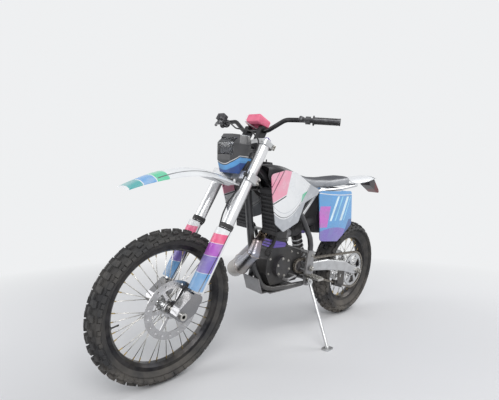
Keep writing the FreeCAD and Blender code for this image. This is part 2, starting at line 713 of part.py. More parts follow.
def make_frame():
    spine = fused([head_cylinder(HEAD_R)] + spine_rails())
    front, rear, narrow, wide = GUSSET["x"], GUSSET["x"] - GUSSET["length"], GUSSET["narrow"], GUSSET["wide"]
    gusset = plan_plate([(front, -narrow), (front, narrow), (rear, wide), (rear, -wide)], (0, 3))
    gusset.rotate(Vector(front, 0, 0), Y_AXIS, -36.4)
    gusset.translate(Vector(-6, 0, GUSSET["z"]))
    spine = spine.fuse(gusset)
    spine = spine.cut(head_cylinder(STEM_R + RUN_GAP, 5))
    keep("frame_spine", spine)

    down = tube(DOWN_TUBE, DOWN_TUBE_R, 400)
    down = down.cut(head_cylinder(HEAD_R + SEAT_GAP, 20)).cut(Part.makeCompound(spine_rails(SEAT_GAP)))
    down = max(down.Solids, key=lambda solid: solid.Volume)
    rails = both(tube(CRADLE_RAIL, CRADLE_R, 80))
    cross = rod((760, -74, 333), (760, 74, 333), 9)
    straps = []
    for z in RADIATOR_STRAPS:
        tube_x = down_tube_x(z)
        x, half = radiator_x(z), RADIATOR["half_thick"] - 2
        edge = RADIATOR["inner"] - SEAT_GAP
        straps.append(plan_plate([(tube_x, -15), (tube_x, 15), (x + half, edge), (x - half, edge),
                                  (x - half, -edge), (x + half, -edge)], (z, z + 5)))
    cradle = fused([down, cross] + rails + straps)
    cradle = cradle.cut(block((500, 700), (PLATE_Y[0] - SEAT_GAP, 140), (250, 500)))
    cradle = cradle.cut(block((500, 700), (-140, -PLATE_Y[0] + SEAT_GAP), (250, 500)))
    keep("frame_cradle", cradle)


STAND_PIVOT = Vector(590, 126, 350)
STAND_FOOT = Vector(654, 334, 46)
STAND_FOLDED = Vector(-0.975, 0.10, 0.20)
STAND_EYE_HALF = 10.0
STAND_PIN_R = 6.0


def stand_directions():
    """Leg direction when down and when folded, and the pivot bolt's direction."""
    down = STAND_FOOT - STAND_PIVOT
    down.normalize()
    folded = Vector(STAND_FOLDED)
    folded.normalize()
    bolt = down.cross(folded)
    bolt.normalize()
    return down, folded, bolt


def across_pivot(half, radius):
    """Round bar on the swingarm's pivot axis."""
    return rod((PIVOT[0], -half, PIVOT[1]), (PIVOT[0], half, PIVOT[1]), radius)


def make_pivot_plates():
    """Forged plates at the swingarm pivot, with the stand's lug and the cross tubes between them."""
    outline = [(606, 322), (613, 380), (606, 470), (600, 535), (552, 535), (540, 460), (534, 380), (548, 322)]
    left = side_plate(outline, PLATE_Y, 16)
    pieces = both(left)
    for x, z in (UPPER_CROSS, LOWER_CROSS):
        pieces.append(rod((x, -PLATE_Y[0] - 2, z), (x, PLATE_Y[0] + 2, z), CROSS_R))
    pieces.append(across_pivot(PLATE_Y[1] + 8, PIVOT_BOLT_R))
    _, _, bolt = stand_directions()
    lug_end = STAND_PIVOT - bolt * (STAND_EYE_HALF + RUN_GAP)
    pieces.append(rod(STAND_PIVOT - bolt * 30, lug_end, 13))
    pieces.append(rod(STAND_PIVOT - bolt * 28, STAND_PIVOT + bolt * (STAND_EYE_HALF + 3), STAND_PIN_R))
    keep("pivot_plates", fused(pieces))


SUBFRAME_R = 10.0
SUBFRAME_TOP = [(690, 97, 752), (560, 92, 886), (300, 86, 906), (90, 74, 936)]
SUBFRAME_LOW = [(588, 97, 612), (420, 90, 724), (250, 86, 890)]


def make_subframe():
    """Light rear frame: upper rails, lower struts and cross tubes, bolted to the main rails."""
    pieces = both(tube(SUBFRAME_TOP, SUBFRAME_R, 80)) + both(tube(SUBFRAME_LOW, SUBFRAME_R, 80))
    for x, y, z in (SUBFRAME_TOP[2], SUBFRAME_TOP[3]):
        pieces.append(rod((x, -y, z), (x, y, z), 8))
    x, _, z = SUBFRAME_TOP[3]
    pieces += [rod((x, y, z), (x, y, z + 28.2), 7) for y in (-60, 60)]
    rear = fused(pieces)
    rear = rear.cut(Part.makeCompound(spine_rails(SEAT_GAP)))
    rear = max(rear.Solids, key=lambda solid: solid.Volume)
    keep("subframe", rear)


# Engine

def case_outline():
    """Side outline of the crankcase, from the rear foot round over the crank chamber."""
    return [(600, 376), (640, 350), (860, 350), (905, 420), (905, 500), (868, 548), (868, 560), (742, 560),
            (700, 545), (612, 530), (600, 480)]


def side_cover(cover):
    """Round cover standing out from the side of the crankcase."""
    x, z, y, radius = cover
    face = CASE_LEFT - 1 if y > 0 else CASE_RIGHT + 1
    return rod((x, face, z), (x, y, z), radius)


def make_engine():
    body = side_plate(case_outline(), (CASE_RIGHT, CASE_LEFT), 16)
    pivot_room = across_pivot(90, PIVOT_TUBE_R + 3)
    covers = [side_cover(cover) for cover in (CLUTCH_COVER, PUMP_COVER, IGNITION_COVER)]
    shaft_x, shaft_z = DRIVE_AXIS
    shaft = rod((shaft_x, CASE_LEFT - 1, shaft_z), (shaft_x, CHAIN_Y + CHAIN_HALF, shaft_z), 12)
    tip = CHAIN_PITCH / (2 * math.sin(math.pi / DRIVE_TEETH)) - CHAIN_PIN_HALF - SEAT_GAP
    sprocket = side_plate(star(DRIVE_TEETH, tip - 3, tip, DRIVE_AXIS), (CHAIN_Y - 3, CHAIN_Y + 3))
    case = fused([body, shaft, sprocket] + covers)
    keep("crankcase", case.cut(pivot_room))


def make_cylinder():
    """Barrel and head with their fins, four studs, the plug, and the two ports."""
    barrel = plan_plate([(746, -56), (746, 56), (866, 52), (866, -52)], (CASE_TOP + SEAT_GAP, BARREL_TOP), 22)
    head = plan_plate([(752, -52), (752, 52), (862, 48), (862, -48)], (BARREL_TOP, HEAD_TOP), 26)
    studs = [rod((x, y, HEAD_TOP - 2), (x, y, HEAD_TOP + 10), 7) for x in (772, 842) for y in (-36, 36)]
    plug = rod((806, 0, HEAD_TOP - 2), (806, 0, HEAD_TOP + 34), 11)
    fins = [plan_plate([(742, -60), (742, 60), (870, 56), (870, -56)], (z, z + 4), 24) for z in FIN_HEIGHTS]
    port_x, port_y, port_z, _ = EXHAUST[0]
    exhaust_port = rod((860, port_y, port_z), (port_x - SEAT_GAP, port_y, port_z), 27)
    y, z = INTAKE["y"], INTAKE["z"]
    intake = rod((752, y, z), (INTAKE["front"], y, z), 25)
    keep("cylinder", fused([barrel, head, plug, exhaust_port, intake] + studs + fins))


def make_carburettor():
    """Float bowl below the throat and the round slide above it."""
    y, z, throat_r = INTAKE["y"], INTAKE["z"], INTAKE["throat"]
    middle = INTAKE["front"] - 21
    bowl = rod((middle, y, z - 46), (middle, y, z - 6), 18)
    throat = rod((INTAKE["front"] - SEAT_GAP, y, z), (INTAKE["rear"], y, z), throat_r)
    slide = rod((middle, y, z + 2), (middle, y, z + 72), 17)
    keep("carburettor", fused([bowl, throat, slide]))


def star(teeth, root, tip, centre):
    outline = []
    for i in range(teeth):
        for share, r in ((0.0, root), (0.25, root), (0.45, tip), (0.8, tip)):
            angle = math.tau * (i + share) / teeth
            outline.append((centre[0] + r * math.cos(angle), centre[1] + r * math.sin(angle)))
    return outline


# x, y, z, radius along the pipe
EXHAUST = [(884.3, 0, 632, 20), (906, 0, 632, 20), (936, 24, 622, 21), (1004, 64, 604, 25),
           (1022, 62, 545, 34), (1019, -20, 462, 41), (985, -100, 424, 44), (900, -142, 444, 44),
           (760, -168, 534, 34), (610, -178, 655, 22), (492, -181, 704, 17)]
WELD_RISE = 0.6
SILENCER_LENGTH = 434.0
SILENCER_R = 42.0


def make_exhaust():
    """Welded expansion chamber of cones, looping in front of the down tube to the right side."""
    pieces = []
    for near, far in zip(EXHAUST, EXHAUST[1:]):
        start, end = Vector(*near[:3]), Vector(*far[:3])
        run = end - start
        if abs(near[3] - far[3]) < 0.01:
            pieces.append(Part.makeCylinder(near[3], run.Length, start, run))
        else:
            pieces.append(Part.makeCone(near[3], far[3], run.Length, start, run))
    for x, y, z, r in EXHAUST[1:-1]:
        pieces.append(Part.makeSphere(r + WELD_RISE, Vector(x, y, z)))
    keep("exhaust_chamber", fused(pieces))

    run = Vector(*EXHAUST[-1][:3]) - Vector(*EXHAUST[-2][:3])
    run.normalize()
    start = Vector(*EXHAUST[-1][:3]) + run * SEAT_GAP
    end = start + run * SILENCER_LENGTH
    can = rod(start + run * 40, end, SILENCER_R)
    nose = Part.makeCone(EXHAUST[-1][3] + 2, SILENCER_R, 40, start, run)
    tail = Part.makeCone(SILENCER_R, 24, 26, end, run)
    outlet = rod(end + run * 20, end + run * 50, 15)
    bracket = block((132, 152), (-156, -80), (826, 921))
    silencer = fused([can, nose, tail, outlet, bracket])
    silencer = silencer.cut(tube([(x, -y, z) for x, y, z in SUBFRAME_TOP], SUBFRAME_R + SEAT_GAP, 80))
    silencer = max(silencer.Solids, key=lambda solid: solid.Volume)
    silencer = silencer.cut(rod(end + run * 10, end + run * 51, 12))
    keep("silencer", silencer)


# Cooling

def radiator_x(z):
    """Middle of the tilted radiator at a height."""
    return RADIATOR["x"] + (z - RADIATOR["z"]) * math.tan(math.radians(RADIATOR["tilt"]))


def make_radiators():
    """Cores with end tanks beside the down tube, and slatted grilles in front."""
    r = RADIATOR
    core = block((-r["half_thick"], r["half_thick"]), (r["inner"] + 6, r["outer"] - 6),
                 (-r["half_high"] + 20, r["half_high"] - 20))
    tanks = [block((-r["half_thick"] - 4, r["half_thick"] + 4), (r["inner"], r["outer"]), z)
             for z in ((-r["half_high"], -r["half_high"] + 22), (r["half_high"] - 22, r["half_high"]))]
    slats = []
    for i in range(9):
        z = -r["half_high"] + 26 + i * 20.6
        slats.append(block((r["half_thick"] + 3, r["half_thick"] + 5), (r["inner"] + 4, r["outer"] - 4),
                           (z, z + 10)))
    for y in (r["inner"] + 4, r["outer"] - 8):
        slats.append(block((r["half_thick"] - 1, r["half_thick"] + 6), (y, y + 4),
                           (-r["half_high"] + 22, r["half_high"] - 22)))
    left = fused([core] + tanks + slats)
    left.rotate(Vector(0, 0, 0), Y_AXIS, r["tilt"])
    left.translate(Vector(r["x"], 0, r["z"]))
    keep("radiators", both(left))


# Bodywork

# x, half width, low, high
TANK = [(1020, 54, 930, 994), (948, 110, 906, 1010), (870, 118, 868, 1000), (770, 100, 866, 978),
        (650, 78, 868, 930)]
SEAT = [(812, 36, 972, 1002), (720, 60, 926, 980), (590, 74, 902, 962), (420, 84, 912, 966),
        (280, 86, 926, 984), (176, 80, 944, 996)]


def make_tank():
    tank = loft([ring_section(x, half, low, high, 26) for x, half, low, high in TANK])
    tunnel = side_plate([(1066, 850), (1066, 1052), (900, 912), (838, 866), (820, 800)], (-84, 84), 0)
    saddle = loft([ring_section(x, half + 8, low - SEAT_GAP, high + 60, 6) for x, half, low, high in SEAT])
    tank = tank.cut(tunnel).cut(saddle)
    tank = max(tank.Solids, key=lambda solid: solid.Volume)
    cap = rod((930, 0, 1000), (930, 0, 1022), 34)
    keep("fuel_tank", fused([tank, cap]))
    keep("seat", loft([ring_section(x, half, low, high, 13) for x, half, low, high in SEAT]))


PANEL_WALL = 5.0
SHROUD_OUTLINE = [(1084, 962), (960, 988), (840, 982), (700, 930), (586, 896), (600, 866), (724, 822),
                  (778, 716), (930, 676), (1010, 720), (1062, 870)]
SHROUD_PLAN = [(1096, 190), (940, 168), (740, 132), (560, 122)]
SIDE_OUTLINE = [(592, 889), (226, 898), (173, 679), (347, 577), (536, 591), (552, 694)]
SIDE_PLAN = [(600, 124), (420, 132), (160, 116)]


def bent_panel(outline, plan, corner):
    """Curved panel: a bent sheet seen from above, trimmed to its outline seen from the side."""
    outer = [Vector(x, y, 500) for x, y in plan]
    inner = [Vector(x, y - PANEL_WALL, 500) for x, y in reversed(plan)]
    curve_out = Part.BSplineCurve()
    curve_out.interpolate(outer)
    curve_in = Part.BSplineCurve()
    curve_in.interpolate(inner)
    edges = [curve_out.toShape(), Part.LineSegment(outer[-1], inner[0]).toShape(), curve_in.toShape(),
             Part.LineSegment(inner[-1], outer[0]).toShape()]
    sheet = Part.Face(Part.Wire(edges)).extrude(Vector(0, 0, 600))
    return sheet.common(side_plate(outline, (60, 240), corner))


def make_shrouds():
    left = bent_panel(SHROUD_OUTLINE, SHROUD_PLAN, 22)
    for z in (700, 850):
        x = radiator_x(z)
        left = left.fuse(rod((x, RADIATOR["outer"] - 6 + SEAT_GAP, z), (x, 171, z), 8))
    keep("radiator_shrouds", both(left))


def make_side_panels():
    left = bent_panel(SIDE_OUTLINE, SIDE_PLAN, 26)
    for x, z, y in ((552, 880, 92), (300, 890, 86), (430, 718, 90)):
        left = left.fuse(rod((x, y + SUBFRAME_R - 2, z), (x, 126, z), 7))
    for rail in (SUBFRAME_TOP, SUBFRAME_LOW):
        left = left.cut(tube(rail, SUBFRAME_R + SEAT_GAP, 80))
    left = max(left.Solids, key=lambda solid: solid.Volume)
    keep("side_panels", both(left))


# x, crown height, half width, drop of the edges
REAR_FENDER = [(170, 982, 84, 28), (60, 990, 88, 34), (-60, 1002, 84, 28), (-160, 1010, 70, 18),
               (-238, 1008, 48, 6)]
# outline in (x, z)
TAIL_LAMP = [(-140, 1000), (-216, 1000), (-322, 912), (-330, 890), (-308, 888), (-176, 940)]


def make_rear_fender():
    sections = [arch_section(x, z, half, drop, FENDER_WALL) for x, z, half, drop in REAR_FENDER]
    keep("rear_fender", loft(sections))
    keep("tail_lamp", side_plate(TAIL_LAMP, (-38, 38), 5))


def make_airbox():
    box = loft([ring_section(x, half, low, high, 16) for x, half, low, high in
                ((334, 70, 640, 880), (420, 80, 622, 886), (524, 78, 630, 872))], True)
    y, z, rear = INTAKE["y"], INTAKE["z"], INTAKE["rear"]
    boot = tube([(510, 46, 700), (590, 46, 694), (rear - 26, y + 4, z), (rear + 12, y, z)], 26, 60)
    throat_room = rod((rear - 12, y, z), (INTAKE["front"], y, z), INTAKE["throat"] + SEAT_GAP)
    keep("airbox", fused([box, boot]).cut(throat_room))


# Rear suspension

def side_section(x, y, z, corner):
    points = [(x, y[0], z[0]), (x, y[1], z[0]), (x, y[1], z[1]), (x, y[0], z[1])]
    return rounded_path(points, corner, True)


# x, inner Y, outer Y, low Z, high Z
ARM = [(576, 62, 90, 404, 446), (520, 62, 90, 396, 452), (380, 78, 106, 386, 456), (180, 86, 112, 354, 424),
       (36, 88, 112, REAR_TYRE_R - 21, REAR_TYRE_R + 31), (-48, 88, 112, REAR_TYRE_R - 15, REAR_TYRE_R + 15)]


def make_swingarm():
    arm = loft([side_section(x, (y0, y1), (z0, z1), 9) for x, y0, y1, z0, z1 in ARM], True)
    slot = block((-20, 22), (80, 120), (REAR_TYRE_R - AXLE_R - RUN_GAP, REAR_TYRE_R + AXLE_R + RUN_GAP))
    arm = arm.cut(slot)
    bridge = block((392, 446), (-90, 90), (394, 438))
    tube_across = across_pivot(ARM[0][2], PIVOT_TUBE_R)
    swingarm = fused(both(arm) + [bridge, tube_across])
    keep("swingarm", swingarm.cut(across_pivot(120, PIVOT_BOLT_R + SEAT_GAP)))


def make_rear_axle():
    """Rear axle with its spacers from the hub to the arms, head and nut."""
    _, arm_inner, arm_outer = ARM[-1][:3]
    pieces = [rod((0, -arm_outer - 12, 0), (0, arm_outer + 12, 0), AXLE_R)]
    for side, hub_end in ((1, WHEELS["rear"]["hub_left"]), (-1, -WHEELS["rear"]["hub_right"])):
        near, far = side * (hub_end + RUN_GAP), side * (arm_inner - SEAT_GAP)
        pieces.append(rod((0, near, 0), (0, far, 0), 18))
        pieces.append(rod((0, side * (arm_outer + SEAT_GAP), 0), (0, side * (arm_outer + 10), 0), 19))
    keep("rear_axle", at_wheel(fused(pieces), REAR_AXLE))


def chain_line():
    """Points and outward directions round the chain, one every half pitch."""
    rear_r = CHAIN_PITCH / (2 * math.sin(math.pi / REAR_TEETH))
    drive_r = CHAIN_PITCH / (2 * math.sin(math.pi / DRIVE_TEETH))
    span_x, span_z = DRIVE_AXIS[0], DRIVE_AXIS[1] - REAR_TYRE_R
    span = math.hypot(span_x, span_z)
    base = math.atan2(span_z, span_x)
    lean = math.acos((rear_r - drive_r) / span)
    straight = math.sqrt(span ** 2 - (rear_r - drive_r) ** 2)
    front_wrap = drive_r * 2 * lean
    rear_wrap = rear_r * (math.tau - 2 * lean)
    total = 2 * straight + front_wrap + rear_wrap
    steps = 2 * round(total / CHAIN_PITCH)
    line = []
    for i in range(steps):
        s = total * i / steps
        if s < straight:
            angle = base + lean
            foot = (rear_r * math.cos(angle), REAR_TYRE_R + rear_r * math.sin(angle))
            along = angle - math.pi / 2
            point = (foot[0] + s * math.cos(along), foot[1] + s * math.sin(along))
        elif s < straight + front_wrap:
            angle = base + lean - (s - straight) / drive_r
            point = (DRIVE_AXIS[0] + drive_r * math.cos(angle), DRIVE_AXIS[1] + drive_r * math.sin(angle))
        elif s < 2 * straight + front_wrap:
            angle = base - lean
            foot = (DRIVE_AXIS[0] + drive_r * math.cos(angle), DRIVE_AXIS[1] + drive_r * math.sin(angle))
            along = angle - math.pi / 2
            run = s - straight - front_wrap
            point = (foot[0] + run * math.cos(along), foot[1] + run * math.sin(along))
        else:
            angle = base - lean - (s - 2 * straight - front_wrap) / rear_r
            point = (rear_r * math.cos(angle), REAR_TYRE_R + rear_r * math.sin(angle))
        line.append((point, (math.cos(angle), math.sin(angle))))
    return line


def make_chain():
    """One closed loop of links: wide at every pin, waisted between the pins."""
    outer, inner = [], []
    for i, (point, out) in enumerate(chain_line()):
        half = CHAIN_PIN_HALF if i % 2 == 0 else CHAIN_WAIST_HALF
        outer.append((point[0] + out[0] * half, point[1] + out[1] * half))
        inner.append((point[0] - out[0] * half, point[1] - out[1] * half))
    y = (CHAIN_Y - CHAIN_HALF, CHAIN_Y + CHAIN_HALF)
    keep("drive_chain", side_plate(outer, y).cut(side_plate(inner, y)))


def make_shock():
    """Spring and damper with its reservoir, and the rocker and pull rod of the linkage."""
    top, low = Vector(*SHOCK_TOP), Vector(*SHOCK_LOW)
    axis = top - low
    length = axis.Length
    axis.normalize()
    eye_low = low + axis * 20
    pieces = [rod(eye_low, low + axis * (length - 16), 9)]
    pieces.append(rod(low + axis * 34, low + axis * 52, 34))
    pieces.append(rod(low + axis * (length - 150), low + axis * (length - 16), 25))
    pieces.append(rod(low + axis * (length - 176), low + axis * (length - 150), 34))
    coil_pitch = (length - 176 - 52) / SPRING_COILS
    for i in range(SPRING_COILS):
        at = low + axis * (52 + coil_pitch * i)
        pieces.append(Part.makeCone(27, 34, coil_pitch / 2, at, axis))
        pieces.append(Part.makeCone(34, 27, coil_pitch / 2, at + axis * (coil_pitch / 2), axis))
    keep("rear_shock", fused(pieces))

    rocker = side_plate([(446, 322), (430, 360), (412, 394 - SEAT_GAP), (440, 394 - SEAT_GAP), (456, 352),
                         (474, 352), (520, 340), (520, 322)], (-36, -8), 6)
    pull = rod((514, -22, 331), (LOWER_CROSS[0], -22, LOWER_CROSS[1]), 8)
    cross_room = rod((LOWER_CROSS[0], -60, LOWER_CROSS[1]), (LOWER_CROSS[0], 60, LOWER_CROSS[1]),
                     CROSS_R + SEAT_GAP)
    link = fused([rocker, pull]).cut(cross_room)
    keep("shock_linkage", max(link.Solids, key=lambda solid: solid.Volume))


# Controls at the feet

def make_footpegs():
    """Serrated steel pegs on lugs outside the pivot plates."""
    low, high = 384, 396
    y0, y1 = PLATE_Y[1] + SEAT_GAP, 212
    frame = block((578, 630), (y0 + 18, y1), (low, high))
    frame = frame.cut(block((590, 618), (y0 + 34, y1 - 8), (low - 1, high + 1)))
    bar = block((588, 620), (y0, y0 + 20), (low - 6, high))
    rib = block((601, 607), (y0 + 30, y1 - 4), (low, high))
    teeth = []
    for i in range(8):
        y = y0 + 24 + i * 10
        for x in (579, 624):
            teeth.append(block((x, x + 5), (y, y + 4), (high - 1, high + 5)))
    keep("footpegs", both(fused([frame, bar, rib] + teeth)))


def make_foot_levers():
    shift = fused([rod((705, CASE_LEFT + SEAT_GAP, 396), (705, 108, 396), 7),
                   tube([(705, 102, 396), (770, 108, 388), (812, 110, 396)], 6, 60),
                   rod((808, 104, 396), (808, 138, 396), 8)])
    y = -PLATE_Y[1] - SEAT_GAP
    brake = fused([rod((606, y, 356), (606, y - 18, 356), 14),
                   tube([(606, y - 9, 356), (690, y - 13, 352), (790, y - 16, 372)], 7, 80),
                   block((778, 806), (y - 34, y - 6), (370, 378))])
    cover_y = CLUTCH_COVER[2]
    kick = fused([rod((650, cover_y - SEAT_GAP, 486), (650, cover_y - 17, 486), 16),
                  tube([(650, cover_y - 9, 486), (640, cover_y - 9, 560), (664, cover_y - 9, 640)], 7, 60),
                  rod((664, cover_y - 1, 640), (664, cover_y - 31, 640), 8)])
    keep("foot_levers", [shift, brake, kick])


def make_rear_caliper():
    wheel = WHEELS["rear"]
    y = wheel["disc_y"]
    body = side_plate([(52, 52), (108, 20), (124, 52), (70, 88)], (y - 24.8, y + 20), 12)
    slot = sleeve((0, y - DISC_HALF - 3, 0), (0, y + DISC_HALF + 3, 0), wheel["disc_r"] + 5, 20)
    keep("rear_caliper", at_wheel(body.cut(slot), REAR_AXLE))


def make_skid_plate():
    under = CRADLE_RAIL[3][2] - CRADLE_R - SEAT_GAP
    outline = [(622, under - 4), (926, under - 4), (962, 400), (958, 402), (923, under), (622, under)]
    plate = side_plate(outline, (-82, 82))
    ramp_corner = block((880, 1000), (60, 100), (300, 460))
    keep("skid_plate", plate.cut(Part.makeCompound(both(ramp_corner))))


GUIDE_Y = (58.0, 86.0)
HANGER_Y = (94.0, 100.0)
# outlines in (x, z)
GUIDE_CAGE = [(140, 226), (236, 256), (236, 296), (140, 266)]
GUIDE_SLOT = [(120, 227.9), (256, 270), (256, 294), (120, 251.9)]
GUIDE_HANGER = [(150, 250), (226, 276), (226, 361), (180, 353.7), (150, 345.3)]
UPPER_PAD = [(545, 449.6), (520, 452.3), (470, 453.7), (470, 458), (520, 460), (545, 459)]
LOWER_PAD = [(545, 399.3), (520, 395.7), (480, 392.8), (480, 386), (520, 386), (545, 389)]


def make_chain_guides():
    """Plastic cage round the lower run, hung under the left arm, and rubbing pads on the arm."""
    side_gap = 3
    slot_y = (CHAIN_Y - CHAIN_HALF - side_gap, CHAIN_Y + CHAIN_HALF + side_gap)
    cage = side_plate(GUIDE_CAGE, GUIDE_Y, 6).cut(side_plate(GUIDE_SLOT, slot_y))
    hanger = side_plate(GUIDE_HANGER, HANGER_Y)
    hanger = hanger.cut(rod((190, HANGER_Y[0] - 1, 322), (190, HANGER_Y[1] + 1, 322), 15))
    link = side_plate([(160, 252), (216, 270), (216, 284), (160, 266)], (GUIDE_Y[1] - 1, HANGER_Y[0] + 1))
    pad_y = (ARM[0][1] + 2, CHAIN_Y + CHAIN_HALF + 4)
    pads = [side_plate(outline, pad_y) for outline in (UPPER_PAD, LOWER_PAD)]
    keep("chain_guides", [fused([cage, hanger, link])] + pads)


# Hoses

BRAKE_HOSE_R = 3.6
WATER_HOSE_R = 10.0
CLIP_WALL = 3.0
FITTING = 14.0
# fork coordinates: inward from the master cylinder, across above the mask, down ahead of the left tube,
# round inside the slider
BRAKE_HOSE = [(88, -170, 962), (100, -60, 905), (96, 60, 890), (68, 118, 850), (65, 118, 720),
              (65, 118, 600), (60, 84, 530), (40, 64, 470), (18, 64, 380), (2, 64, 260), (-26, 66, 150)]
CLAMP_CLIP_S = (668.0, 682.0)
SLIDER_CLIP_S = (244.0, 253.0)
# machine coordinates, back along the right arm
REAR_HOSE = [(545, -114, 502), (520, -100, 480), (480, -92, 466), (380, -94, 463), (180, -99, 432),
             (140, -84, 446)]
REAR_CYLINDER = dict(x=592.0, y=-121.0, low=412.0, high=500.0, radius=11.0)
# machine coordinates: head to the top tank, bottom tank to the case (left) and to the pump (right)
TOP_HOSE = [(806, 34, HEAD_TOP + SEAT_GAP), (806, 34, 790), (830, 44, 806), (905, 66, 848)]
LEFT_LOW_HOSE = [(880, 80, 640), (886, 66, 580)]
RIGHT_LOW_HOSE = [(872, -84, 640), (846, -77, 560)]


def to_point(vector):
    return (vector.x, vector.y, vector.z)


def fork_point(place):
    """A place on the machine in fork coordinates."""
    return FORK_PLACE.inverse().multVec(place)


def make_front_brake_hose():
    """Hose with its end fittings, and two clips: on the lower clamp and round the left slider."""
    out = brake_cylinder() + Vector(0, CYLINDER_END + SEAT_GAP, 0)
    y = WHEELS["front"]["disc_y"] + FITTING
    end = fork_point(FRONT_AXLE + caliper_point(25, CALIPER["half_deep"] + SEAT_GAP, y))
    ahead = fork_point(FRONT_AXLE + caliper_point(25, CALIPER["half_deep"] + 28, y))
    line = [to_point(out), to_point(out + Vector(0, 26, 0))] + BRAKE_HOSE[:-1]
    hose = tube(line + [to_point(ahead), to_point(end)], BRAKE_HOSE_R, 60)
    nut = rod(out, out + Vector(0, FITTING, 0), BRAKE_HOSE_R + CLIP_WALL)
    banjo = rod(end, end + (ahead - end) * 0.4, BRAKE_HOSE_R + CLIP_WALL)

    room = BRAKE_HOSE_R + SEAT_GAP
    a, y, _ = BRAKE_HOSE[4]
    low, high = CLAMP_CLIP_S
    upper_clip = block((STEM_OFFSET + 34 + SEAT_GAP, a + 7), (y - 6, y + 6), CLAMP_CLIP_S)
    upper_clip = upper_clip.cut(rod((a, y, low - 1), (a, y, high + 1), room))

    low, high = SLIDER_CLIP_S
    leg = Vector(STEM_OFFSET, FORK_HALF, (low + high) / 2)
    corner, after = Vector(*BRAKE_HOSE[-2]), ahead
    run = after - corner
    run.normalize()
    ring_at = corner + run * ((corner.z - leg.z) / -run.z)
    reach = Vector(leg.x - ring_at.x, leg.y - ring_at.y, 0)
    reach.normalize()
    leg_room = INNER_TUBE_R + SEAT_GAP
    band = sleeve((leg.x, leg.y, low), (leg.x, leg.y, high), INNER_TUBE_R + CLIP_WALL, leg_room)
    ring = sleeve(ring_at - run * 4, ring_at + run * 4, BRAKE_HOSE_R + CLIP_WALL, room)
    arm = rod(Vector(ring_at.x, ring_at.y, leg.z) + reach * (room + 1), leg - reach * (INNER_TUBE_R + 1), 2.5)
    keep("front_brake_hose", on_fork([fused([hose, nut, banjo]), upper_clip, fused([band, ring, arm])]))


def make_rear_brake_hose():
    """Foot brake's cylinder on the right pivot plate, its hose along the arm, and a clip on the arm."""
    x, y = REAR_CYLINDER["x"], REAR_CYLINDER["y"]
    low, high, radius = REAR_CYLINDER["low"], REAR_CYLINDER["high"], REAR_CYLINDER["radius"]
    pot_r = radius + 3
    body = rod((x, y, low), (x, y, high), radius)
    pot = rod((x, y, high - 1), (x, y, high + 22), pot_r)
    lug = block((x - 9, x + 9), (y, -PLATE_Y[1] - SEAT_GAP), (low + 10, low + 50))
    keep("rear_brake_cylinder", fused([body, pot, lug]))

    caliper_y = -77.0
    top, out = Vector(97, caliper_y, REAR_TYRE_R + 70), Vector(0.555, 0, 0.832)
    start = (x - pot_r - SEAT_GAP, y, high + 10)
    line = [start, (start[0] - 12, y, high + 10)] + REAR_HOSE
    hose = tube(line + [to_point(top + out * 28), to_point(top + out * SEAT_GAP)], BRAKE_HOSE_R, 40)
    banjo = rod(top + out * SEAT_GAP, top + out * (SEAT_GAP + 12), BRAKE_HOSE_R + CLIP_WALL)
    clip = side_plate([(294, 442.6), (306, 444.5), (306, 458), (294, 458)], (-102, -90))
    clip = clip.cut(rod(REAR_HOSE[3], REAR_HOSE[4], BRAKE_HOSE_R + SEAT_GAP))
    keep("rear_brake_hose", [hose.fuse(banjo), clip])


def tank_spigot(side, y):
    """Middle of the rear face of a radiator's end tank, and the way it faces."""
    tilt = math.radians(RADIATOR["tilt"])
    back, up = -RADIATOR["half_thick"] - 4, side * (RADIATOR["half_high"] - 11)
    face = Vector(RADIATOR["x"] + back * math.cos(tilt) + up * math.sin(tilt), y,
                  RADIATOR["z"] - back * math.sin(tilt) + up * math.cos(tilt))
    return face, Vector(-math.cos(tilt), 0, math.sin(tilt))


def make_radiator_hoses():
    top, way = tank_spigot(1, 74)
    upper = tube(TOP_HOSE + [to_point(top + way * 25), to_point(top + way * SEAT_GAP)], WATER_HOSE_R, 40)

    low, way = tank_spigot(-1, 84)
    case_slope, case_way = Vector(886.5, 42, 524), Vector(0.792, 0, 0.61)
    left = [to_point(low + way * SEAT_GAP), to_point(low + way * 25)] + LEFT_LOW_HOSE
    left += [to_point(case_slope + case_way * 28), to_point(case_slope + case_way * SEAT_GAP)]

    pump_x, pump_z, _, pump_r = PUMP_COVER
    low, way = tank_spigot(-1, -84)
    right = [to_point(low + way * SEAT_GAP), to_point(low + way * 25)] + RIGHT_LOW_HOSE
    right += [(pump_x, -77, pump_z + pump_r + 35), (pump_x, -77, pump_z + pump_r + SEAT_GAP)]
    keep("radiator_hoses", both(upper) + [tube(left, WATER_HOSE_R, 40), tube(right, WATER_HOSE_R, 40)])


# Parking

def parked_placement():
    """Lean to the left about the ground line, then level both wheels onto the ground."""
    leaned = Placement(Vector(), Rotation(Vector(1, 0, 0), -LEAN))

    def lowest(name, place):
        return min(place.multVec(v.Point).z for v in NODES[name].Vertexes)

    drop = lowest("front_tyre", leaned) - lowest("rear_tyre", leaned)
    pitch = math.degrees(math.asin(drop / WHEELBASE))
    levelled = Placement(Vector(), Rotation(Y_AXIS, pitch)).multiply(leaned)
    ground = min(lowest("front_tyre", levelled), lowest("rear_tyre", levelled))
    return Placement(Vector(0, 0, -ground), Rotation()).multiply(levelled)


FOOT = dict(length=62.0, width=46.0, thick=7.0)


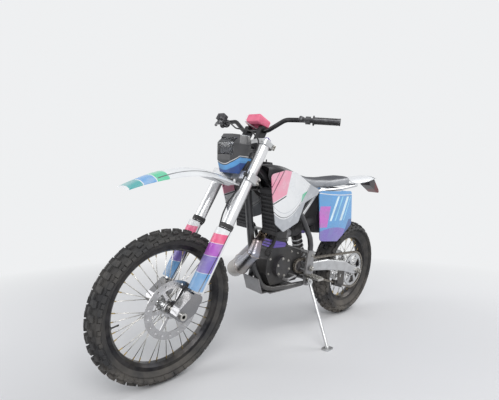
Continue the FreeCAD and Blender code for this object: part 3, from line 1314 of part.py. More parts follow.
def make_side_stand(parked):
    """Leg from its bolt to a foot plate that lies flat on the ground."""
    _, _, bolt = stand_directions()
    ground = parked.multVec(STAND_FOOT)
    ground.z = 0
    half_x, half_y = FOOT["length"] / 2, FOOT["width"] / 2
    foot = plan_plate([(-half_x, -half_y), (half_x, -half_y), (half_x, half_y), (-half_x, half_y)],
                      (0, FOOT["thick"]), 14)
    foot.translate(ground)
    foot.Placement = parked.inverse().multiply(foot.Placement)
    ankle = parked.inverse().multVec(ground + Vector(0, 0, FOOT["thick"] + 4))
    eye = rod(STAND_PIVOT - bolt * STAND_EYE_HALF, STAND_PIVOT + bolt * STAND_EYE_HALF, 16)
    leg = rod(STAND_PIVOT, ankle, 9)
    knuckle = Part.makeSphere(10, ankle)
    under = block((-4000, 4000), (-4000, 4000), (-200, 0))
    under.Placement = parked.inverse().multiply(under.Placement)
    stand = fused([eye, leg, knuckle, foot]).cut(under)
    stand = stand.cut(rod(STAND_PIVOT - bolt * 30, STAND_PIVOT + bolt * 30, STAND_PIN_R + SEAT_GAP))
    keep("side_stand", stand)


def build():
    make_wheels()
    make_clamps()
    make_fork_tubes()
    make_fork_guards()
    make_front_fender()
    make_handlebar()
    make_grips()
    make_controls()
    make_mask()
    make_front_axle()
    make_front_caliper()
    make_frame()
    make_pivot_plates()
    make_subframe()
    make_engine()
    make_cylinder()
    make_carburettor()
    make_exhaust()
    make_radiators()
    make_tank()
    make_shrouds()
    make_side_panels()
    make_rear_fender()
    make_airbox()
    make_swingarm()
    make_rear_axle()
    make_chain()
    make_shock()
    make_footpegs()
    make_foot_levers()
    make_rear_caliper()
    make_skid_plate()
    make_chain_guides()
    make_front_brake_hose()
    make_rear_brake_hose()
    make_radiator_hoses()
    parked = parked_placement()
    make_side_stand(parked)
    for shape in NODES.values():
        shape.Placement = parked.multiply(shape.Placement)
    whole = Part.makeCompound(list(NODES.values())).BoundBox
    centre = Vector(-whole.Center.x, -whole.Center.y, 0)
    for shape in NODES.values():
        shape.translate(centre)
    place = Placement(centre, Rotation()).multiply(parked)
    os.makedirs("parts", exist_ok=True)
    for name, shape in NODES.items():
        shape.exportStep("parts/" + name + ".step")
    return place


PARKED = build()
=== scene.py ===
import json
import math
import bmesh
import bpy
from mathutils import Matrix, Vector
from mathutils.bvhtree import BVHTree


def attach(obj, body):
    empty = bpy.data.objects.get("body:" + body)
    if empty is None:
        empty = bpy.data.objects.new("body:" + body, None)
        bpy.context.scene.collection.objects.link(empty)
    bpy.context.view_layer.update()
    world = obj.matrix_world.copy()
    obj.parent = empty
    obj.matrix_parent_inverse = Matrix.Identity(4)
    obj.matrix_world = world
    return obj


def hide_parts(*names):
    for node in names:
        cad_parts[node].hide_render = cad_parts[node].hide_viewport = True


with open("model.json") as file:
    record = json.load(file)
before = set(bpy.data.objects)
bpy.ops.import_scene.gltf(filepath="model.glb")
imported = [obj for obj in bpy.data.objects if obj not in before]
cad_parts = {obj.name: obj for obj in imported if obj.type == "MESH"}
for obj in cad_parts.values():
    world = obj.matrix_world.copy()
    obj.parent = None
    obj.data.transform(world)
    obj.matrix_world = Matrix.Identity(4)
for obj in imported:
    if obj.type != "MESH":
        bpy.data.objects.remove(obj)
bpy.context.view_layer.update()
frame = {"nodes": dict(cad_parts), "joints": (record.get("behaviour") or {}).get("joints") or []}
nodes = frame["nodes"]
scene = bpy.context.scene

# The upright machine
# The motorcycle leans to its left on the stand. Its own axes come from the two wheel axles: X forward from
# the rear axle, Y to the rider's left, Z up from the line under the tyres.
REAR_AXLE_HEIGHT = 0.335
FRONT_AXLE_HEIGHT = 0.345
joints = {joint["name"]: joint for joint in frame["joints"]}
rear_axle = Vector(joints["rear_wheel_spin"]["pos_m"])
front_axle = Vector(joints["front_wheel_spin"]["pos_m"])
left = Vector(joints["rear_wheel_spin"]["axis"])


def axes(origin, x_axis, y_axis):
    """Matrix from a piece's own axes to the row's."""
    x_axis = x_axis.normalized()
    z_axis = x_axis.cross(y_axis).normalized()
    y_axis = z_axis.cross(x_axis)
    turn = Matrix((x_axis, y_axis, z_axis)).transposed().to_4x4()
    return Matrix.Translation(origin) @ turn


axle_line = front_axle - rear_axle
axle_rise = math.asin((FRONT_AXLE_HEIGHT - REAR_AXLE_HEIGHT) / axle_line.length)
WHEELBASE = axle_line.length * math.cos(axle_rise)
machine = axes(rear_axle, axle_line, left) @ Matrix.Rotation(axle_rise, 4, "Y")
machine = machine @ Matrix.Translation((0, 0, -REAR_AXLE_HEIGHT))
head_axis = Vector(joints["steering_head"]["axis"])
fork = axes(Vector(joints["steering_head"]["pos_m"]), left.cross(head_axis), left)

# Camera
# It stands ahead and to the left of the machine at chest height, as the photographer did.
CAMERA_FROM_REAR_AXLE = Vector((2.321, 1.384, 0.459))
CAMERA_YAW = math.radians(-134.5)
CAMERA_PITCH = math.radians(0.58)
FRAME_WIDTH_PX = 499
FOCAL_PX = 356.6
SENSOR_MM = 36.0


def in_scene(name, data):
    """New object for its data, in the scene."""
    thing = bpy.data.objects.new(name, data)
    scene.collection.objects.link(thing)
    return thing


camera_data = bpy.data.cameras.new("camera")
camera_data.sensor_width = SENSOR_MM
camera_data.lens = FOCAL_PX / FRAME_WIDTH_PX * SENSOR_MM
camera = in_scene("camera", camera_data)
camera.location = rear_axle + CAMERA_FROM_REAR_AXLE
look = Vector((math.cos(CAMERA_PITCH) * math.cos(CAMERA_YAW), math.cos(CAMERA_PITCH) * math.sin(CAMERA_YAW),
               math.sin(CAMERA_PITCH)))
camera.rotation_euler = look.to_track_quat("-Z", "Y").to_euler()
scene.camera = camera
scene.view_settings.view_transform = "Standard"

# Studio
# A pale floor that runs out into a pale backdrop, one large soft lamp over the left front, a weaker one on
# the other side and one behind.
FLOOR_COLOUR = (0.74, 0.74, 0.75, 1)
BACKDROP_COLOUR = (0.86, 0.87, 0.88, 1)
AIR_COLOUR, AIR_STRENGTH = (0.93, 0.96, 1.0, 1), 0.42
FLOOR_HALF = 40.0
FADE_START, FADE_END = 1.5, 3.6
LAMP_TARGET = Vector((0.1, 0, 0.55))
# name, place, size, power
LAMPS = [("key", (2.6, 3.4, 3.6), 3.0, 145), ("fill", (3.4, -2.6, 2.2), 3.0, 60),
         ("back", (-3.2, 1.2, 3.2), 2.5, 75)]


def feed(tree, node, inputs):
    """Set a node's inputs: another node's output is linked, anything else is a value."""
    for key, value in inputs.items():
        if isinstance(value, bpy.types.NodeSocket):
            tree.links.new(value, node.inputs[key])
        else:
            node.inputs[key].default_value = value


def add_node(tree, kind, inputs=None, **settings):
    node = tree.nodes.new(kind)
    for key, value in settings.items():
        setattr(node, key, value)
    feed(tree, node, inputs or {})
    return node


def math_node(tree, operation, *values):
    return add_node(tree, "ShaderNodeMath", dict(enumerate(values)), operation=operation).outputs["Value"]


def product(tree, first, *others):
    for other in others:
        first = math_node(tree, "MULTIPLY", first, other)
    return first


def map_range(tree, value, low, high, new_low=0.0, new_high=1.0):
    ends = {"Value": value, "From Min": low, "From Max": high, "To Min": new_low, "To Max": new_high}
    return add_node(tree, "ShaderNodeMapRange", ends).outputs["Result"]


def new_paint(name):
    """Material, its node tree and its shader."""
    paint = bpy.data.materials.new(name)
    paint.use_nodes = True
    return paint, paint.node_tree, paint.node_tree.nodes["Principled BSDF"]


def mesh_from(name, verts, faces):
    mesh = bpy.data.meshes.new(name)
    mesh.from_pydata(verts, [], faces)
    mesh.update()
    return mesh


def make_floor():
    corners = [Vector((x, y, 0)) * FLOOR_HALF for x, y in ((-1, -1), (1, -1), (1, 1), (-1, 1))]
    floor = in_scene("floor", mesh_from("floor", corners, [(0, 1, 2, 3)]))
    paint, tree, shader = new_paint("floor")
    feed(tree, shader, {"Base Color": FLOOR_COLOUR, "Roughness": 0.9, "Specular IOR Level": 0.1})
    far = add_node(tree, "ShaderNodeEmission", {"Color": BACKDROP_COLOUR})
    place = add_node(tree, "ShaderNodeTexCoord").outputs["Object"]
    distance = add_node(tree, "ShaderNodeVectorMath", {0: place}, operation="LENGTH").outputs["Value"]
    mix = add_node(tree, "ShaderNodeMixShader", {"Fac": map_range(tree, distance, FADE_START, FADE_END),
                                                 1: shader.outputs["BSDF"], 2: far.outputs["Emission"]})
    feed(tree, tree.nodes["Material Output"], {"Surface": mix.outputs["Shader"]})
    floor.data.materials.append(paint)


def make_world():
    world = bpy.data.worlds.new("studio")
    scene.world = world
    world.use_nodes = True
    tree = world.node_tree
    soft = tree.nodes["Background"]
    feed(tree, soft, {"Color": AIR_COLOUR, "Strength": AIR_STRENGTH})
    seen = add_node(tree, "ShaderNodeBackground", {"Color": BACKDROP_COLOUR})
    rays = add_node(tree, "ShaderNodeLightPath").outputs
    sight = math_node(tree, "MAXIMUM", rays["Is Camera Ray"], rays["Is Glossy Ray"])
    sight = math_node(tree, "MAXIMUM", sight, rays["Is Transmission Ray"])
    mix = add_node(tree, "ShaderNodeMixShader", {"Fac": sight, 1: soft.outputs["Background"],
                                                 2: seen.outputs["Background"]})
    feed(tree, tree.nodes["World Output"], {"Surface": mix.outputs["Shader"]})


def make_lamps():
    for name, place, size, watts in LAMPS:
        data = bpy.data.lights.new(name, "AREA")
        data.shape = "DISK"
        data.size = size
        data.energy = watts
        lamp = in_scene(name, data)
        lamp.location = place
        lamp.rotation_euler = (LAMP_TARGET - Vector(place)).to_track_quat("-Z", "Y").to_euler()


make_floor()
make_world()
make_lamps()

# Tyres
# Off-road tyres of black rubber: a round carcass with a ribbed side wall and rows of moulded knobs, the
# middle ones wide and the shoulder ones angled. They sit on the rims' bead seats. Colour, dust and grain
# come from one node group that every finish on the machine uses with its own values.
SURFACE_INPUTS = {"Color": "Color", "Worn Color": "Color", "Blotch": "Float", "Blotch Scale": "Float",
                  "Dust": "Float", "Roughness": "Float", "Grain Scale": "Float"}
SURFACE_OUTPUTS = {"Color": "Color", "Roughness": "Float", "Height": "Float"}
DUST_COLOUR = (0.36, 0.32, 0.27, 1)
DUST_LOW, DUST_TOP, DUST_LEFT = 0.02, 0.75, 0.12
DUST_ROUGHNESS = 0.35
GRAIN_DEPTH = 0.001
COAT_ROUGHNESS = 0.12


def mix_colour(tree, mask, first, second):
    ends = [end if isinstance(end, bpy.types.NodeSocket) else (*end[:3], 1) for end in (first, second)]
    return add_node(tree, "ShaderNodeMix", {0: mask, 6: ends[0], 7: ends[1]}, data_type="RGBA").outputs[2]


def noise(tree, place, scale, detail):
    return add_node(tree, "ShaderNodeTexNoise", {"Vector": place, "Scale": scale, "Detail": detail}).outputs["Fac"]


def new_tree(name, kind, inputs, outputs):
    """Node group with named sockets, and what its inputs give inside it."""
    tree = bpy.data.node_groups.new(name, kind)
    for in_out, sockets in (("INPUT", inputs), ("OUTPUT", outputs)):
        for label, sort in sockets.items():
            tree.interface.new_socket(name=label, in_out=in_out, socket_type="NodeSocket" + sort)
    return tree, tree.nodes.new("NodeGroupInput").outputs


def surface_group():
    """Two-tone blotches, dust that thins out with height, and a fine grain."""
    tree, inside = new_tree("surface", "ShaderNodeTree", SURFACE_INPUTS, SURFACE_OUTPUTS)
    place = add_node(tree, "ShaderNodeTexCoord").outputs["Object"]
    patches = noise(tree, place, inside["Blotch Scale"], 5.0)
    worn = product(tree, map_range(tree, patches, 0.42, 0.68), inside["Blotch"])
    colour = mix_colour(tree, worn, inside["Color"], inside["Worn Color"])
    height = add_node(tree, "ShaderNodeSeparateXYZ", {0: place}).outputs["Z"]
    low = map_range(tree, height, DUST_LOW, DUST_TOP, 1.0, DUST_LEFT)
    cloud = map_range(tree, noise(tree, place, 7.0, 6.0), 0.38, 0.72)
    dusty = product(tree, low, cloud, inside["Dust"])
    rough = math_node(tree, "ADD", inside["Roughness"], product(tree, dusty, DUST_ROUGHNESS))
    spread = map_range(tree, patches, 0.3, 0.7, -0.06, 0.06)
    add_node(tree, "NodeGroupOutput", {"Color": mix_colour(tree, dusty, colour, DUST_COLOUR),
                                       "Roughness": math_node(tree, "ADD", rough, spread),
                                       "Height": noise(tree, place, inside["Grain Scale"], 2.0)})
    return tree


SURFACE = surface_group()


def finish(name, colour, worn, rough, metallic=0.0, blotch=0.5, blotch_scale=14.0, dust=0.25, grain=400.0,
           bump=0.12, coat=0.0, specular=0.5, pattern=None):
    """Material of one finish. pattern draws other colours over the first one."""
    paint, tree, shader = new_paint(name)
    colour = (*colour, 1)
    values = {"Color": pattern(tree, colour) if pattern else colour, "Worn Color": (*worn, 1), "Blotch": blotch,
              "Blotch Scale": blotch_scale, "Dust": dust, "Roughness": rough, "Grain Scale": grain}
    made = add_node(tree, "ShaderNodeGroup", values, node_tree=SURFACE).outputs
    ridge = add_node(tree, "ShaderNodeBump", {"Strength": bump, "Distance": GRAIN_DEPTH, "Height": made["Height"]})
    feed(tree, shader, {"Base Color": made["Color"], "Roughness": made["Roughness"], "Metallic": metallic,
                        "Coat Weight": coat, "Coat Roughness": COAT_ROUGHNESS, "Specular IOR Level": specular,
                        "Normal": ridge.outputs["Normal"]})
    return paint


def wear(paint, *names):
    """Give frame pieces their finish."""
    for name in names:
        mesh = nodes[name].data
        mesh.materials.clear()
        mesh.materials.append(paint)


def new_piece(name, mesh, paint, place=None, smooth=True):
    """Object with its place in its mesh."""
    if place is not None:
        mesh.transform(place)
    mesh.materials.clear()
    mesh.materials.append(paint)
    if smooth:
        mesh.shade_smooth()
    mesh.name = name
    return in_scene(name, mesh)


def fit(piece, body, slot, *stands_for):
    """Let a finished piece ride on its body and hide the frame pieces that it stands for. The slot is not used."""
    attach(piece, body)
    if stands_for:
        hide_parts(*stands_for)
    return piece


def grid_faces(rows, columns, round_rows=True):
    """Faces of a tube: each row closes on itself, and the last row on the first if round_rows."""
    faces = []
    for i in range(rows if round_rows else rows - 1):
        near, far = i * columns, (i + 1) % rows * columns
        for j in range(columns):
            k = (j + 1) % columns
            faces.append((near + j, near + k, far + k, far + j))
    return faces


def spun(name, profile, steps):
    """Ring about the Y axis: a closed profile in (y, radius), all the way round."""
    verts = []
    for i in range(steps):
        angle = math.tau * i / steps
        verts += [(r * math.cos(angle), y, r * math.sin(angle)) for y, r in profile]
    return outward(mesh_from(name, verts, grid_faces(steps, len(profile))))


def outward(mesh):
    work = bmesh.new()
    work.from_mesh(mesh)
    bmesh.ops.remove_doubles(work, verts=work.verts, dist=1e-6)
    bmesh.ops.recalc_face_normals(work, faces=work.faces)
    work.to_mesh(mesh)
    work.free()
    return mesh


def to_mesh(work, name):
    """Mesh of a finished bmesh."""
    mesh = bpy.data.meshes.new(name)
    work.to_mesh(mesh)
    work.free()
    return mesh


def copy_tree(name, inputs, spots):
    """Geometry nodes that set copies of a piece on the points from spots and give them one finish."""
    sockets = {"Geometry": "Geometry", "Piece": "Object", "Finish": "Material", **inputs}
    tree, inside = new_tree(name, "GeometryNodeTree", sockets, {"Geometry": "Geometry"})
    source = add_node(tree, "GeometryNodeObjectInfo", {"Object": inside["Piece"]}).outputs["Geometry"]
    stood = add_node(tree, "GeometryNodeInstanceOnPoints", {"Instance": source, **spots(tree, inside)})
    real = add_node(tree, "GeometryNodeRealizeInstances", {0: stood.outputs[0]})
    coat = add_node(tree, "GeometryNodeSetMaterial", {"Geometry": real.outputs[0], "Material": inside["Finish"]})
    add_node(tree, "NodeGroupOutput", {0: coat.outputs[0]})
    return tree


def round_axle(tree, inside):
    """Points turned about the Y axis at even steps."""
    line = add_node(tree, "GeometryNodeMeshLine", {"Offset": (0, 0, 0), "Count": inside["Count"]})
    index = add_node(tree, "GeometryNodeInputIndex").outputs[0]
    share = math_node(tree, "DIVIDE", index, inside["Count"])
    angle = product(tree, math_node(tree, "ADD", share, inside["Start"]), -math.tau)
    turn = add_node(tree, "ShaderNodeCombineXYZ", {"Y": angle}).outputs[0]
    rotation = add_node(tree, "FunctionNodeEulerToRotation", {0: turn}).outputs[0]
    return {"Points": line.outputs[0], "Rotation": rotation}


ROUND_AXLE = copy_tree("round axle", {"Count": "Int", "Start": "Float"}, round_axle)


def evaluated(holder):
    """Plain mesh of an object with its modifiers."""
    bpy.context.view_layer.update()
    return bpy.data.meshes.new_from_object(holder.evaluated_get(bpy.context.evaluated_depsgraph_get()))


def copies(tree, mesh, values, base=None):
    """Mesh of the copies of a drawn piece that a node tree makes from its named inputs."""
    source = in_scene("source", mesh)
    holder = in_scene("holder", base or bpy.data.meshes.new("holder"))
    modifier = holder.modifiers.new("grow", "NODES")
    modifier.node_group = tree
    values = {"Piece": source, **values}
    for item in tree.interface.items_tree:
        if item.in_out == "INPUT" and item.name in values:
            modifier[item.identifier] = values[item.name]
    made = evaluated(holder)
    holder.modifiers.remove(modifier)
    for thing in (holder, source):
        bpy.data.objects.remove(thing)
    return made


def joined(meshes):
    whole = bmesh.new()
    for mesh in meshes:
        whole.from_mesh(mesh)
    return to_mesh(whole, "joined")


def around(pieces, count, paint, start=0.0):
    """Mesh of drawn pieces repeated about the axle."""
    return joined([copies(ROUND_AXLE, mesh, {"Count": count, "Start": start, "Finish": paint}) for mesh in pieces])


def bevelled_block(size, taper, edge, segments=2):
    """Block standing on Z 0, narrower at its top by taper, with rounded edges."""
    work = bmesh.new()
    bmesh.ops.create_cube(work, size=1.0)
    for vert in work.verts:
        high = vert.co.z > 0
        for axis in (0, 1):
            reach = size[axis] / 2 - (taper if high else 0.0)
            vert.co[axis] = math.copysign(reach, vert.co[axis])
        vert.co.z = size[2] if high else 0.0
    edges = [e for e in work.edges if any(v.co.z > 0 for v in e.verts)]
    bmesh.ops.bevel(work, geom=edges, offset=edge, segments=segments, affect="EDGES", profile=0.6)
    return to_mesh(work, "block")


# lug tip radius, half width, bead seat radius, half width between the beads, knobs round the tyre
TYRES = {"front": dict(axle=front_axle, tip=0.345, half=0.042, bead=0.267, bead_half=0.0204, knobs=38),
         "rear": dict(axle=rear_axle, tip=0.335, half=0.055, bead=0.229, bead_half=0.0274, knobs=34)}
KNOB_HEIGHT, KNOB_FOOT = 0.0125, 0.004
# how far the crown is round, share of the wall's height that it drops
CROWN_ROUND, CROWN_DROP = 0.93, 0.62
# place as a share of the half width, length in pitches, width in half widths, lean, turn, start in pitches
SHOULDER_ROWS = [(0.90, 0.56, 0.40, math.radians(62), 0.0, 0.0), (0.93, 0.38, 0.34, math.radians(70), 0.0, 0.5),
                 (0.56, 0.50, 0.40, math.radians(33), 0.12, 0.5)]
MIDDLE_ROW = (0.22, 0.52, 0.37, 0.16, 0.0, 0.0)
RIM_FLANGE = 0.0115
# share of the half width, share of the height over the rim's flange
WALL_SHAPE = [(0.86, 0.20), (0.93, 0.34), (0.955, 0.48), (0.93, 0.62), (0.85, 0.76), (0.72, 0.87), (0.54, 0.945),
              (0.30, 0.985), (0.0, 1.0)]
RIB_PLACES = (0.34, 0.62)
RIB_HEIGHT, RIB_HALF = 0.0016, 0.0022
tyre_rubber = finish("tyre rubber", (0.032, 0.032, 0.034), (0.062, 0.060, 0.058), 0.74, blotch=0.7,
                     blotch_scale=22, dust=0.42, grain=900, bump=0.25, specular=0.35)


def carcass_profile(tyre, crown):
    """Half section from the bead out over the side wall to the crown, with two raised rings on the wall."""
    flange = tyre["bead"] + RIM_FLANGE
    points = [(tyre["bead_half"], tyre["bead"] + 0.0006), (tyre["bead_half"] + 0.0035, flange - 0.002)]
    for share, up in WALL_SHAPE:
        y, r = tyre["half"] * share, flange + (crown - flange) * up
        if up in RIB_PLACES:
            foot = y + RIB_HEIGHT * 0.2
            points += [(foot, r - RIB_HALF), (y + RIB_HEIGHT, r), (foot, r + RIB_HALF)]
        else:
            points.append((y, r))
    return points


def knob_at(tyre, crown, share, size, tilt, turn):
    """One knob standing on the crown at a share of the half width."""
    block = bevelled_block((*size, KNOB_HEIGHT + KNOB_FOOT), taper=0.0014, edge=0.0011)
    drop = (1 - math.sqrt(max(0.0, 1 - share ** 2 * CROWN_ROUND))) * (crown - tyre["bead"]) * CROWN_DROP
    stand = Matrix.Translation((crown - drop - KNOB_FOOT, tyre["half"] * share, 0)) @ Matrix.Rotation(tilt, 4, "Z")
    block.transform(stand @ Matrix.Rotation(math.pi / 2, 4, "Y") @ Matrix.Rotation(turn, 4, "Z"))
    return block


def at_axle(axle):
    return Matrix.Translation(axle) @ machine.to_3x3().to_4x4()


def make_tyre(name, tyre):
    crown = tyre["tip"] - KNOB_HEIGHT
    half_profile = carcass_profile(tyre, crown)
    profile = [(-y, r) for y, r in half_profile] + [(y, r) for y, r in reversed(half_profile[:-1])]
    carcass = spun("carcass", profile, steps=144)
    pitch = math.tau * crown / tyre["knobs"]
    rings = []
    rows = [(side, row) for side in (-1, 1) for row in SHOULDER_ROWS] + [(side, MIDDLE_ROW) for side in (-1, 1)]
    for side, (share, length, width, lean, turn, start) in rows:
        knob = knob_at(tyre, crown, side * share, (pitch * length, tyre["half"] * width), side * lean, side * turn)
        rings.append(around([knob], tyre["knobs"], tyre_rubber, start / tyre["knobs"]))
    whole = joined([carcass] + rings)
    piece = new_piece(name + "_knobbly_tyre", whole, tyre_rubber, at_axle(tyre["axle"]), smooth=False)
    for polygon in piece.data.polygons:
        polygon.use_smooth = polygon.index < len(carcass.polygons)
    fit(piece, name + "_wheel", "tyre_rubber", name + "_tyre")


for tyre_name, tyre_sizes in TYRES.items():
    make_tyre(tyre_name, tyre_sizes)

# Rims, hubs and spokes
# Drop-centre rims of black anodised alloy with satin hubs. The spokes are drawn wire, bent through the hub
# flange and pulled up by a brass-coloured nipple in the rim well, where a valve stands too.
SPOKE_PAIRS, SPOKE_SWING = 9, math.radians(50)
SPOKE_R, SPOKE_HEAD_R, ELBOW = 0.0018, 0.0032, 0.008
NIPPLE_LENGTH, NIPPLE_R = 0.016, 0.0028
FLANGE_HALF = 0.003
# hub flange place and radius, radius of the rim's well
SPOKED = {"front": dict(axle=front_axle, flange_y=0.027, flange_r=0.027, well=0.2502),
          "rear": dict(axle=rear_axle, flange_y=0.030, flange_r=0.038, well=0.2122)}
# top and foot inside the well, radius and sides of the valve's stem, cap and nut
VALVE_PARTS = [(0.0005, 0.030, 0.0032, 10), (0.028, 0.036, 0.0040, 6), (0.0008, 0.005, 0.0065, 6)]
black_alloy = finish("black anodised alloy", (0.022, 0.022, 0.025), (0.075, 0.075, 0.08), 0.32, metallic=0.85,
                     blotch=0.4, blotch_scale=30, dust=0.3, grain=700, bump=0.05)
satin_alloy = finish("satin alloy", (0.60, 0.61, 0.62), (0.42, 0.42, 0.43), 0.34, metallic=0.9, blotch=0.45,
                     blotch_scale=24, dust=0.22, grain=600, bump=0.08)
cast_alloy = finish("cast alloy", (0.34, 0.34, 0.35), (0.24, 0.235, 0.23), 0.52, metallic=0.75, blotch=0.6,
                    blotch_scale=18, dust=0.35, grain=1100, bump=0.35)
plated_steel = finish("plated steel", (0.62, 0.61, 0.58), (0.40, 0.37, 0.32), 0.28, metallic=1.0, blotch=0.5,
                      blotch_scale=60, dust=0.15, grain=800, bump=0.05)
brass_plate = finish("brass plate", (0.55, 0.42, 0.20), (0.36, 0.28, 0.15), 0.35, metallic=1.0, dust=0.1)
ground_steel = finish("ground steel", (0.52, 0.52, 0.53), (0.30, 0.29, 0.28), 0.27, metallic=1.0, blotch=0.35,
                      blotch_scale=40, dust=0.12, grain=1500, bump=0.12)


def bar(start, end, radius, sides=10, far_radius=None):
    """Closed round bar between two points."""
    start, end = Vector(start), Vector(end)
    run = end - start
    work = bmesh.new()
    bmesh.ops.create_cone(work, cap_ends=True, segments=sides, radius1=radius, radius2=far_radius or radius,
                          depth=run.length)
    mesh = to_mesh(work, "bar")
    mesh.transform(Matrix.Translation((start + end) / 2) @ run.to_track_quat("Z", "Y").to_matrix().to_4x4())
    return mesh


def spoke_ends(wheel, side, lead):
    hub_y = side * (wheel["flange_y"] + lead * (FLANGE_HALF + SPOKE_R + 0.0012))
    hub = Vector((math.cos(lead * SPOKE_SWING), 0, math.sin(lead * SPOKE_SWING))) * wheel["flange_r"]
    rim = Vector((wheel["well"], side * 0.005, 0))
    return hub + Vector((0, hub_y, 0)), rim


def make_spokes(name, wheel):
    wires, nipples = [], []
    for side in (-1, 1):
        for shift, lead in ((0.0, -1), (0.5, 1)):
            hub, rim = spoke_ends(wheel, side, lead)
            along = (rim - hub).normalized()
            elbow = hub + Vector((0, -side * lead * ELBOW, 0))
            start = (shift + side / 8) / SPOKE_PAIRS
            drawn = [bar(hub, rim, SPOKE_R), bar(elbow, hub, SPOKE_R),
                     bar(elbow, elbow - (hub - elbow) * 0.2, SPOKE_HEAD_R)]
            wires.append(around(drawn, SPOKE_PAIRS, plated_steel, start))
            nipple = bar(rim - along * NIPPLE_LENGTH, rim - along * 0.0004, NIPPLE_R, sides=6)
            nipples.append(around([nipple], SPOKE_PAIRS, brass_plate, start))
    place, body = at_axle(wheel["axle"]), name + "_wheel"
    fit(new_piece(name + "_spoke_wires", joined(wires), plated_steel, place), body, "spoke_steel", name + "_spokes")
    fit(new_piece(name + "_spoke_nipples", joined(nipples), brass_plate, place, False), body, "spoke_steel")
    valve = [bar((wheel["well"] - top, 0, 0), (wheel["well"] - foot, 0, 0), radius, sides)
             for top, foot, radius, sides in VALVE_PARTS]
    turn = Matrix.Rotation(math.tau * 0.5 / SPOKE_PAIRS / 2, 4, "Y")
    fit(new_piece(name + "_valve", joined(valve), black_alloy, place @ turn, False), body, "rim_alloy")


for wheel_name, wheel_sizes in SPOKED.items():
    make_spokes(wheel_name, wheel_sizes)
    wear(black_alloy, wheel_name + "_rim")
    wear(ground_steel, wheel_name + "_brake_disc")
    wear(plated_steel, wheel_name + "_axle")
    wear(cast_alloy, wheel_name + "_caliper")
wear(black_alloy, "rear_hub")
wear(satin_alloy, "front_hub", "rear_sprocket")

# Drive chain
# Roller chain of plated steel plates on hardened pins. Outer and inner links follow the line round both
# sprockets in turn.
CHAIN_PITCH = 0.015875
REAR_TEETH = 50
DRIVE_TEETH = 14
CHAIN_Y = 0.072
DRIVE_AXIS = Vector((0.645, CHAIN_Y, 0.440))
PLATE_THICK = 0.0016
# outer and inner links: place, waist and height of the plates, half length, radius and sides of the pins or
# rollers, first step
LINKS = [(0.0068, 0.0050, 0.0070, 0.0088, 0.0023, 8, 1), (0.0050, 0.0054, 0.0072, 0.0042, 0.0050, 10, 3)]
chain_steel = finish("chain steel", (0.30, 0.28, 0.25), (0.12, 0.10, 0.085), 0.36, metallic=1.0, blotch=0.8,
                     blotch_scale=120, dust=0.3, grain=900, bump=0.08)


def chain_points():
    """Places of the pins round the chain line: two tangents and two wraps."""
    rear_r = CHAIN_PITCH / (2 * math.sin(math.pi / REAR_TEETH))
    drive_r = CHAIN_PITCH / (2 * math.sin(math.pi / DRIVE_TEETH))
    rear = Vector((0, CHAIN_Y, REAR_AXLE_HEIGHT))
    span = DRIVE_AXIS - rear
    base, lean = math.atan2(span.z, span.x), math.acos((rear_r - drive_r) / span.length)
    straight = math.sqrt(span.length ** 2 - (rear_r - drive_r) ** 2)
    parts = [straight, drive_r * 2 * lean, straight, rear_r * (math.tau - 2 * lean)]
    total = sum(parts)

    def out(angle):
        return Vector((math.cos(angle), 0, math.sin(angle)))

    def at(s):
        if s < parts[0]:
            return rear + out(base + lean) * rear_r + out(base + lean - math.pi / 2) * s
        s -= parts[0]
        if s < parts[1]:
            return DRIVE_AXIS + out(base + lean - s / drive_r) * drive_r
        s -= parts[1]
        if s < parts[2]:
            return DRIVE_AXIS + out(base - lean) * drive_r + out(base - lean - math.pi / 2) * s
        return rear + out(base - lean - (s - parts[2]) / rear_r) * rear_r

    steps = 2 * round(total / CHAIN_PITCH / 2)
    return [at(total * i / steps) for i in range(steps)]


def along_path(tree, inside):
    """Points with their X along a closed path in the X-Z plane, on every so-many-th of its even steps."""
    path = add_node(tree, "GeometryNodeObjectInfo", {"Object": inside["Path"]}).outputs["Geometry"]
    ends = {"Curve": path, "Count": inside["Count"]}
    points = add_node(tree, "GeometryNodeCurveToPoints", ends, mode="COUNT").outputs
    facing = add_node(tree, "FunctionNodeAlignRotationToVector", {"Vector": points["Tangent"]}, axis="X").outputs[0]
    upright = add_node(tree, "FunctionNodeAlignRotationToVector", {"Vector": (0, 1, 0), "Rotation": facing},
                       axis="Y", pivot_axis="X").outputs[0]
    index = add_node(tree, "GeometryNodeInputIndex").outputs[0]
    chosen = math_node(tree, "COMPARE", math_node(tree, "MODULO", index, inside["Every"]), inside["First"])
    return {"Points": points[0], "Selection": chosen, "Rotation": upright}


PATH_INPUTS = {"Path": "Object", "Count": "Int", "Every": "Int", "First": "Int"}
ALONG_PATH = copy_tree("along path", PATH_INPUTS, along_path)


def closed_path(points):
    curve = bpy.data.curves.new("path", "CURVE")
    curve.dimensions = "3D"
    spline = curve.splines.new("POLY")
    spline.points.add(len(points) - 1)
    for point, place in zip(spline.points, points):
        point.co = (*place, 1)
    spline.use_cyclic_u = True
    return in_scene("path", curve)


def link_plate(offset, waist, high):
    """Figure-eight side plate between two pins, with its ends rounded about the pins."""
    half = CHAIN_PITCH / 2
    outline = []
    for end in (1, -1):
        for step in range(7):
            angle = math.radians(-75 + 25 * step)
            outline.append((end * (half + high * math.cos(angle)), end * high * math.sin(angle)))
        outline.append((0, end * waist))
    count = len(outline)
    verts = [(x, offset + side * PLATE_THICK / 2, z) for side in (-1, 1) for x, z in outline]
    faces = [tuple(range(count)), tuple(range(2 * count - 1, count - 1, -1))]
    faces += [(i, (i + 1) % count, count + (i + 1) % count, count + i) for i in range(count)]
    return outward(mesh_from("plate", verts, faces))


